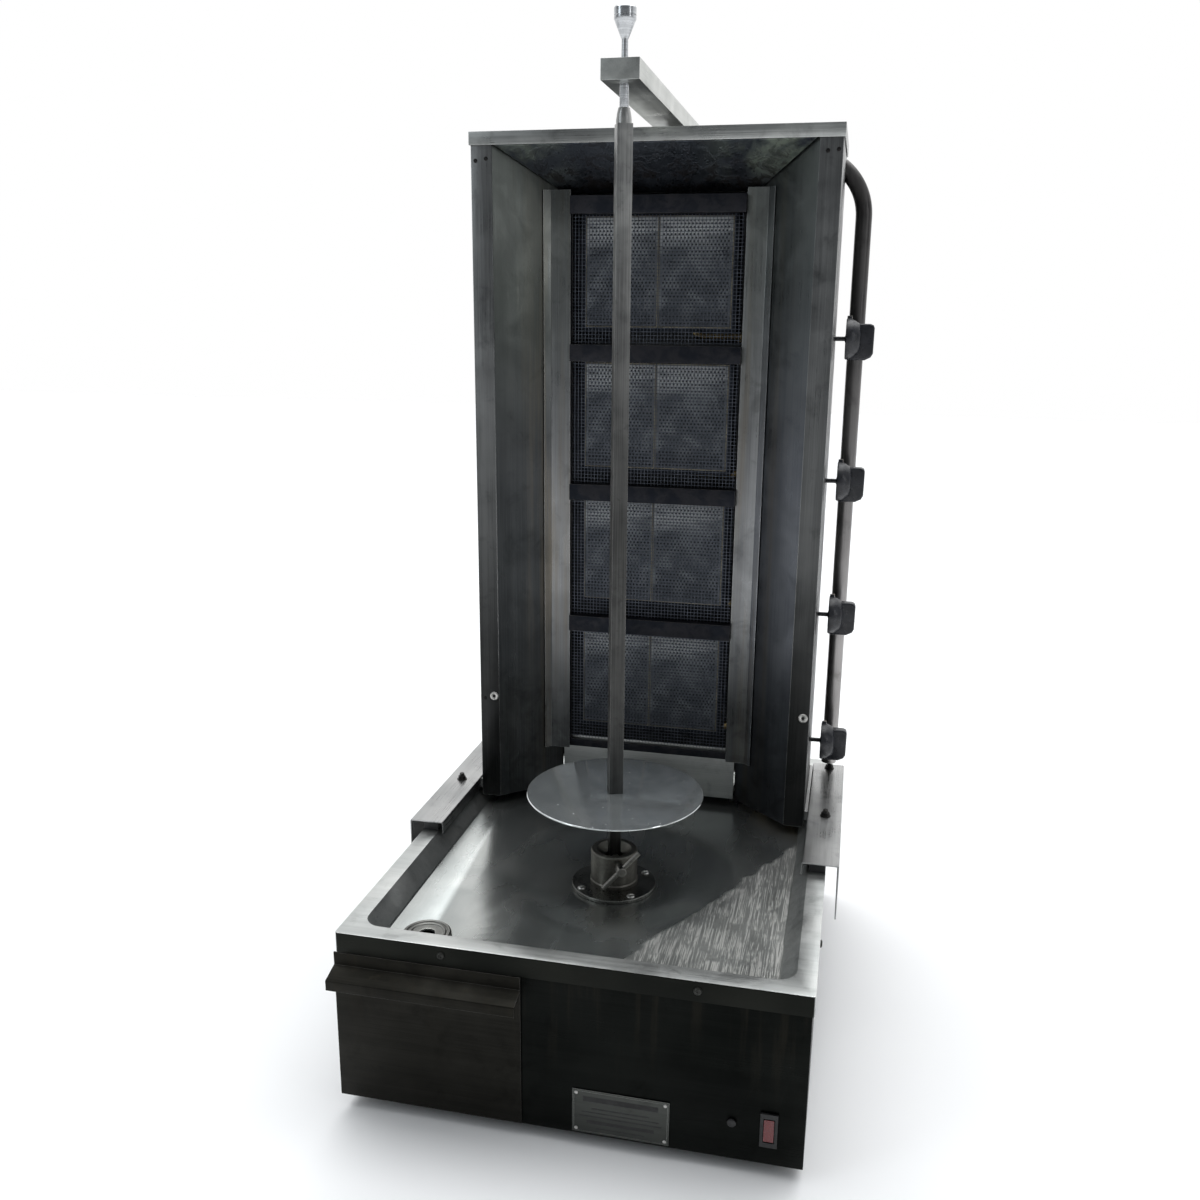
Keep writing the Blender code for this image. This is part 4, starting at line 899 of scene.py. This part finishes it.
def make_guards():
    """Woven wire guards: every wire passes over and under the ones it crosses."""
    low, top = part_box("mesh_guard_1")
    pitch, radius, weave = 0.0043, 0.00043, 0.00036
    across, tall = top.x - low.x, top.z - low.z
    mid_y = (low.y + top.y) / 2
    columns, rows = int(across / pitch), int(tall / pitch)
    xs = [(i - (columns - 1) / 2) * pitch for i in range(columns)]
    zs = [(j - (rows - 1) / 2) * pitch for j in range(rows)]
    bm = bmesh.new()
    for i, px in enumerate(xs):
        wander = 0.00025 * noise.noise(Vector((i * 0.37, 1.7, 0)))
        path = [(px + wander, mid_y, -tall / 2)]
        path += [(px + wander * math.cos(j * 0.2), mid_y + weave * (1 if (i + j) % 2 else -1), pz)
                 for j, pz in enumerate(zs)]
        path += [(px + wander, mid_y, tall / 2)]
        add_sweep(bm, path, radius, 4, (0, 1, 0))
    for j, pz in enumerate(zs):
        wander = 0.00025 * noise.noise(Vector((j * 0.41, 7.3, 0)))
        path = [(-across / 2, mid_y, pz + wander)]
        path += [(px, mid_y - weave * (1 if (i + j) % 2 else -1), pz + wander * math.cos(i * 0.2))
                 for i, px in enumerate(xs)]
        path += [(across / 2, mid_y, pz + wander)]
        add_sweep(bm, path, radius, 4, (0, 1, 0))
    mesh = to_mesh("woven_guard", bm, 50)
    for i in range(4):
        low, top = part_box(f"mesh_guard_{i + 1}")
        link(f"woven_guard_{i + 1}", mesh, WIRE, "tower", (0, 0, (low.z + top.z) / 2),
             stands_for=(f"mesh_guard_{i + 1}",))


for i in range(4):
    refined(f"burner_{i + 1}", HOUSING, 0.0004, 2, 30)
make_plaques()
make_bezels()
make_guards()


# ---- knobs ---------------------------------------------------------------------------------------
def make_knobs():
    """Moulded tap knobs: a domed skirt, a tapered grip bar, a raised pointer with a painted index."""
    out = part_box("knob_1")[1].x
    seat = 0.2290                        # where the grip bar leaves the skirt
    bm = bmesh.new()
    turn = frame_matrix((0, 0, 0), RIGHTWARD)
    add_lathe(bm, [(0, 0.2064), (0.0027, 0.2064), (0.0027, 0.2255), (0.0060, 0.2266), (0.0235, 0.2266),
                   (0.0245, 0.2276), (0.0243, 0.2300), (0.0235, 0.2330), (0.0222, 0.2360), (0.0200, 0.2393),
                   (0.0188, 0.2415), (0.0170, 0.2432), (0.0150, 0.2440), (0, 0.2444)], turn, 56)
    grip = [(-0.0250, seat), (-0.0250, out - 0.0100), (-0.0215, out - 0.0028), (-0.0170, out - 0.0002),
            (0.0130, out), (0.0165, out - 0.0014), (0.0180, out - 0.0050), (0.0180, seat)]
    bar = bmesh.new()
    sections = ((-0.0062, 0.92, 0.97), (-0.0048, 1, 1), (0.0048, 1, 1), (0.0062, 0.92, 0.97))
    rings = [[bar.verts.new((seat + (px - seat) * depth, py, pz * scale)) for pz, px in grip]
             for py, scale, depth in sections]
    for a, b in zip(rings, rings[1:]):
        skin(bar, a, b)
    bar.faces.new(rings[0])
    bar.faces.new(list(reversed(rings[-1])))
    bmesh.ops.recalc_face_normals(bar, faces=bar.faces)
    round_edges(bar, 0.0007, 2, 25)
    pointer = [(-0.0050, 0.0150), (0.0050, 0.0150), (0.0016, 0.0272), (-0.0016, 0.0272)]
    tip = bmesh.new()
    add_prism(tip, pointer, "X", 0.2272, 0.2328)
    bmesh.ops.recalc_face_normals(tip, faces=tip.faces)
    round_edges(tip, 0.0006, 2)
    for extra in (bar, tip):
        spare = bpy.data.meshes.new("spare")
        extra.to_mesh(spare)
        extra.free()
        bm.from_mesh(spare)
        bpy.data.meshes.remove(spare)
    mesh = to_mesh("knob_body", bm, 40)
    line = bmesh.new()
    add_box(line, (0.2324, -0.0009, 0.0165), (0.2331, 0.0009, 0.0262))
    add_box(line, (0.2290, -0.0011, 0.0255), (0.2329, 0.0011, 0.0273))
    round_edges(line, 0.0002, 1)
    index = to_mesh("knob_index", line, 40)
    for i in range(1, 5):
        low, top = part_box(f"knob_{i}")
        axis = Vector((0, (low.y + top.y) / 2, top.z - 0.0275))
        link(f"knob_{i}_fine", mesh, KNOB, f"knob_{i}_body", axis, (f"knob_{i}",))
        link(f"knob_{i}_index", index, MARK, f"knob_{i}_body", axis)


make_knobs()


# ---- saddles -------------------------------------------------------------------------------------
def bent_strip(points, thickness, radius, steps=4):
    """Outline of a folded sheet: a centre line of (a, b) points with round bends, thickened evenly."""
    centre = [Vector(points[0])]
    for before, corner, after in zip(points, points[1:], points[2:]):
        before, corner, after = Vector(before), Vector(corner), Vector(after)
        into, out = (before - corner).normalized(), (after - corner).normalized()
        half = into.angle(out) / 2
        cut = radius / math.tan(half)
        hub = corner + (into + out).normalized() * radius / math.sin(half)
        a, b = corner + into * cut - hub, corner + out * cut - hub
        sweep = a.angle_signed(b)
        for k in range(steps + 1):
            t = -sweep * k / steps
            centre.append(hub + Vector((a.x * math.cos(t) - a.y * math.sin(t),
                                        a.x * math.sin(t) + a.y * math.cos(t))))
    centre.append(Vector(points[-1]))
    left, right = [], []
    for k, p in enumerate(centre):
        ahead = (centre[min(k + 1, len(centre) - 1)] - centre[max(k - 1, 0)]).normalized()
        side = Vector((-ahead.y, ahead.x)) * thickness / 2
        left.append(p + side)
        right.append(p - side)
    return [tuple(p) for p in left + right[::-1]]


def thread(low, count):
    """The ridges of a bolt's thread: count steps of half a millimetre up from low."""
    return [(0.0031 - 0.0003 * (k % 2), low + 0.0005 * k) for k in range(count)]


def make_saddles():
    """Inverted channels that ride on the tray's rims, each with its spacer and two studs with nuts."""
    t = 0.0015                           # sheet thickness
    inner, outer = 0.2173, 0.2602        # across the channel
    bolt_x, front_y, rear_y = 0.2400, 0.0733, 0.2320
    bm = bmesh.new()
    add_lathe(bm, [(0, 0), (0.0066, 0), (0.0066, 0.0008), (0.0050, 0.0010), (0.0050, 0.0046),
                   (0.0044, 0.0052), (0.0031, 0.0052), *thread(0.0054, 7), (0.0026, 0.0088), (0, 0.0088)],
              steps=24)
    for v in [v for v in bm.verts if abs(v.co.xy.length - 0.0050) < 1e-5]:
        a = math.atan2(v.co.y, v.co.x)   # the nut's ring becomes a hexagon
        flat = 0.0052 * math.cos(math.pi / 6) / math.cos((a % (math.pi / 3)) - math.pi / 6)
        v.co.xy = Vector((math.cos(a), math.sin(a))) * flat
    stud = to_mesh("saddle_stud", bm, 30)
    plate_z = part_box("saddle_left")[1].z - 0.0090
    for side, s in (("left", -1), ("right", 1)):
        node = f"saddle_{side}"
        low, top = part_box(node)
        line = [(inner + t / 2, plate_z - 0.0145), (inner + t / 2, plate_z - t / 2),
                (outer - t / 2, plate_z - t / 2), (outer - t / 2, low.z)]
        bm = bmesh.new()
        add_prism(bm, bent_strip([(s * a, b) for a, b in line], t, 0.0014), "Y", low.y, top.y)
        x0, x1 = sorted((s * 0.2135, s * (inner + 0.0004)))
        add_box(bm, (x0, 0.0860, plate_z - 0.0146), (x1, top.y - 0.004, plate_z - 0.0022))
        bmesh.ops.recalc_face_normals(bm, faces=bm.faces)
        round_edges(bm, 0.0003, 1, 50)
        finished(f"{node}_fine", bm, 30, SADDLE, "tower", stands_for=(node,))
        for i, py in enumerate((front_y, rear_y)):
            at = (s * bolt_x, py, plate_z)
            link(f"{node}_stud_{i + 1}", stud, BLACK_BOLT, "tower", at)
    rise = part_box("side_guard_tube")[0].z - plate_z      # the right rear bolt runs on up to the tube
    bm = bmesh.new()
    add_lathe(bm, [(0, 0.0080), (0.0030, 0.0080), *thread(0.0086, int((rise - 0.0090) / 0.0005)),
                   (0.0031, rise), (0, rise)], steps=24)
    finished("guard_tube_bolt", bm, 30, BLACK_BOLT, "tower", (bolt_x, rear_y, plate_z))


make_saddles()


# ---- maker's plate -------------------------------------------------------------------------------
def make_plate():
    """Aluminium plate with a raised border, generic blank lines and four rivets."""
    low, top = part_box("name_plate")
    face = low.y
    refined("name_plate", PLATE, 0.0003, 2, 30)
    bm = bmesh.new()
    inset, wide, proud = 0.0016, 0.0005, 0.00022
    x0, x1, z0, z1 = low.x + inset, top.x - inset, low.z + inset, top.z - inset
    for ax, az, bx, bz in ((x0, z0, x1, z0 + wide), (x0, z1 - wide, x1, z1), (x0, z0, x0 + wide, z1),
                           (x1 - wide, z0, x1, z1)):
        add_box(bm, (ax, face - proud, az), (bx, face + 0.0002, bz))
    finished("plate_border", bm, 30, PLATE, "base")
    bm = bmesh.new()
    mid_x, height = (low.x + top.x) / 2, top.z - low.z
    rows = ((0.80, 0.0062, 0.078), (0.585, 0.0016, 0.060), (0.490, 0.0014, 0.080), (0.395, 0.0016, 0.086),
            (0.265, 0.0040, 0.070), (0.125, 0.0014, 0.050))
    for at, tall, wide in rows:
        pz = low.z + height * at
        add_box(bm, (mid_x - wide / 2, face - 0.00016, pz - tall / 2),
                (mid_x + wide / 2, face + 0.0002, pz + tall / 2))
    round_edges(bm, 0.0001, 1)
    finished("plate_lines", bm, 30, PLATE_INK, "base")
    corner = 0.0042                      # rivets from the plate's edges
    fasten_all("plate_rivet", PLATE_RIVET, [(px, face, pz) for pz in (low.z + corner, top.z - corner)
                                            for px in (low.x + corner, top.x - corner)],
               FRONTWARD, "base")


make_plate()


# ---- studio: pale floor, soft light and the camera -----------------------------------------------
def make_studio():
    bm = bmesh.new()
    bmesh.ops.create_grid(bm, x_segments=24, y_segments=24, size=9.0)
    mesh = bpy.data.meshes.new("studio_floor")
    bm.to_mesh(mesh)
    bm.free()
    floor = bpy.data.objects.new("studio_floor", mesh)
    floor.location.z = -0.0002
    mesh.materials.append(floor_look())
    bpy.context.scene.collection.objects.link(floor)

    world = bpy.data.worlds.new("studio")
    bpy.context.scene.world = world
    world.use_nodes = True
    nodes, links = world.node_tree.nodes, world.node_tree.links
    back = nodes["Background"]
    coords = nodes.new("ShaderNodeTexCoord")
    split = nodes.new("ShaderNodeSeparateXYZ")
    links.new(coords.outputs["Generated"], split.inputs[0])

    def ramp(source, stops):
        node = nodes.new("ShaderNodeValToRGB")
        node.color_ramp.interpolation = "EASE"
        for element, (at, colour) in zip(node.color_ramp.elements, (stops[0], stops[-1])):
            element.position = at
            element.color = (*colour, 1)
        for at, colour in stops[1:-1]:
            node.color_ramp.elements.new(at).color = (*colour, 1)
        shift = nodes.new("ShaderNodeMapRange")
        shift.inputs["From Min"].default_value = -1.0
        links.new(source, shift.inputs["Value"])
        links.new(shift.outputs[0], node.inputs["Fac"])
        return node.outputs["Color"]

    # the studio is bright behind the machine and dim on the cook's side
    room = ramp(split.outputs["Y"], ((0.0, (0.20, 0.21, 0.22)), (0.42, (0.24, 0.25, 0.26)),
                                     (0.60, (0.80, 0.82, 0.84)), (1.0, (1.20, 1.20, 1.20))))
    seen = nodes.new("ShaderNodeLightPath")
    mixed = nodes.new("ShaderNodeMix")
    mixed.data_type = "RGBA"
    links.new(seen.outputs["Is Camera Ray"], mixed.inputs[0])
    links.new(room, mixed.inputs[6])
    mixed.inputs[7].default_value = (1, 1, 1, 1)
    links.new(mixed.outputs[2], back.inputs["Color"])
    back.inputs["Strength"].default_value = 1.0

    def softbox(name, at, aim, size, watts, colour=(1, 1, 1)):
        light = bpy.data.lights.new(name, "AREA")
        light.shape, light.size, light.size_y = "RECTANGLE", size[0], size[1]
        light.energy, light.color = watts, colour
        obj = bpy.data.objects.new(name, light)
        obj.location = at
        obj.rotation_euler = (Vector(aim) - Vector(at)).to_track_quat("-Z", "Y").to_euler()
        bpy.context.scene.collection.objects.link(obj)

    softbox("overhead", (0.0, 0.9, 3.4), (0, 0.4, 0), (3.6, 3.0), 45)
    softbox("left_front", (-2.2, -1.9, 2.0), (0, 0, 0.6), (0.9, 1.8), 12, (0.88, 0.95, 1.0))
    softbox("right_front", (2.3, -1.2, 1.5), (0, 0, 0.6), (0.5, 1.6), 4.5, (0.97, 0.98, 1.0))
    sky = bpy.data.lights.new("ceiling_glow", "SUN")
    sky.energy, sky.angle, sky.color = 1.7, math.radians(75), (0.96, 0.98, 1.0)
    glow = bpy.data.objects.new("ceiling_glow", sky)
    glow.rotation_euler = (math.radians(-14), 0, 0)
    bpy.context.scene.collection.objects.link(glow)


def make_camera():
    """Standing in front and to the right, looking down a little."""
    data = bpy.data.cameras.new("camera")
    data.sensor_width = 36.0
    data.lens = 33.82
    data.shift_x, data.shift_y = -0.0005, 0.0106
    data.clip_start = 0.01
    obj = bpy.data.objects.new("camera", data)
    yaw, pitch, roll = 0.2213, -0.2585, -0.0093
    turn = (Matrix.Rotation(yaw, 4, "Z") @ Matrix.Rotation(pitch, 4, "X") @ Matrix.Rotation(roll, 4, "Y")
            @ Matrix.Rotation(math.pi / 2, 4, "X"))
    obj.matrix_world = Matrix.Translation((0.2486, -1.2598, 0.8294)) @ turn
    bpy.context.scene.collection.objects.link(obj)
    bpy.context.scene.camera = obj


make_studio()
make_camera()
bpy.context.scene.view_settings.view_transform = "Standard"

bpy.context.view_layer.update()
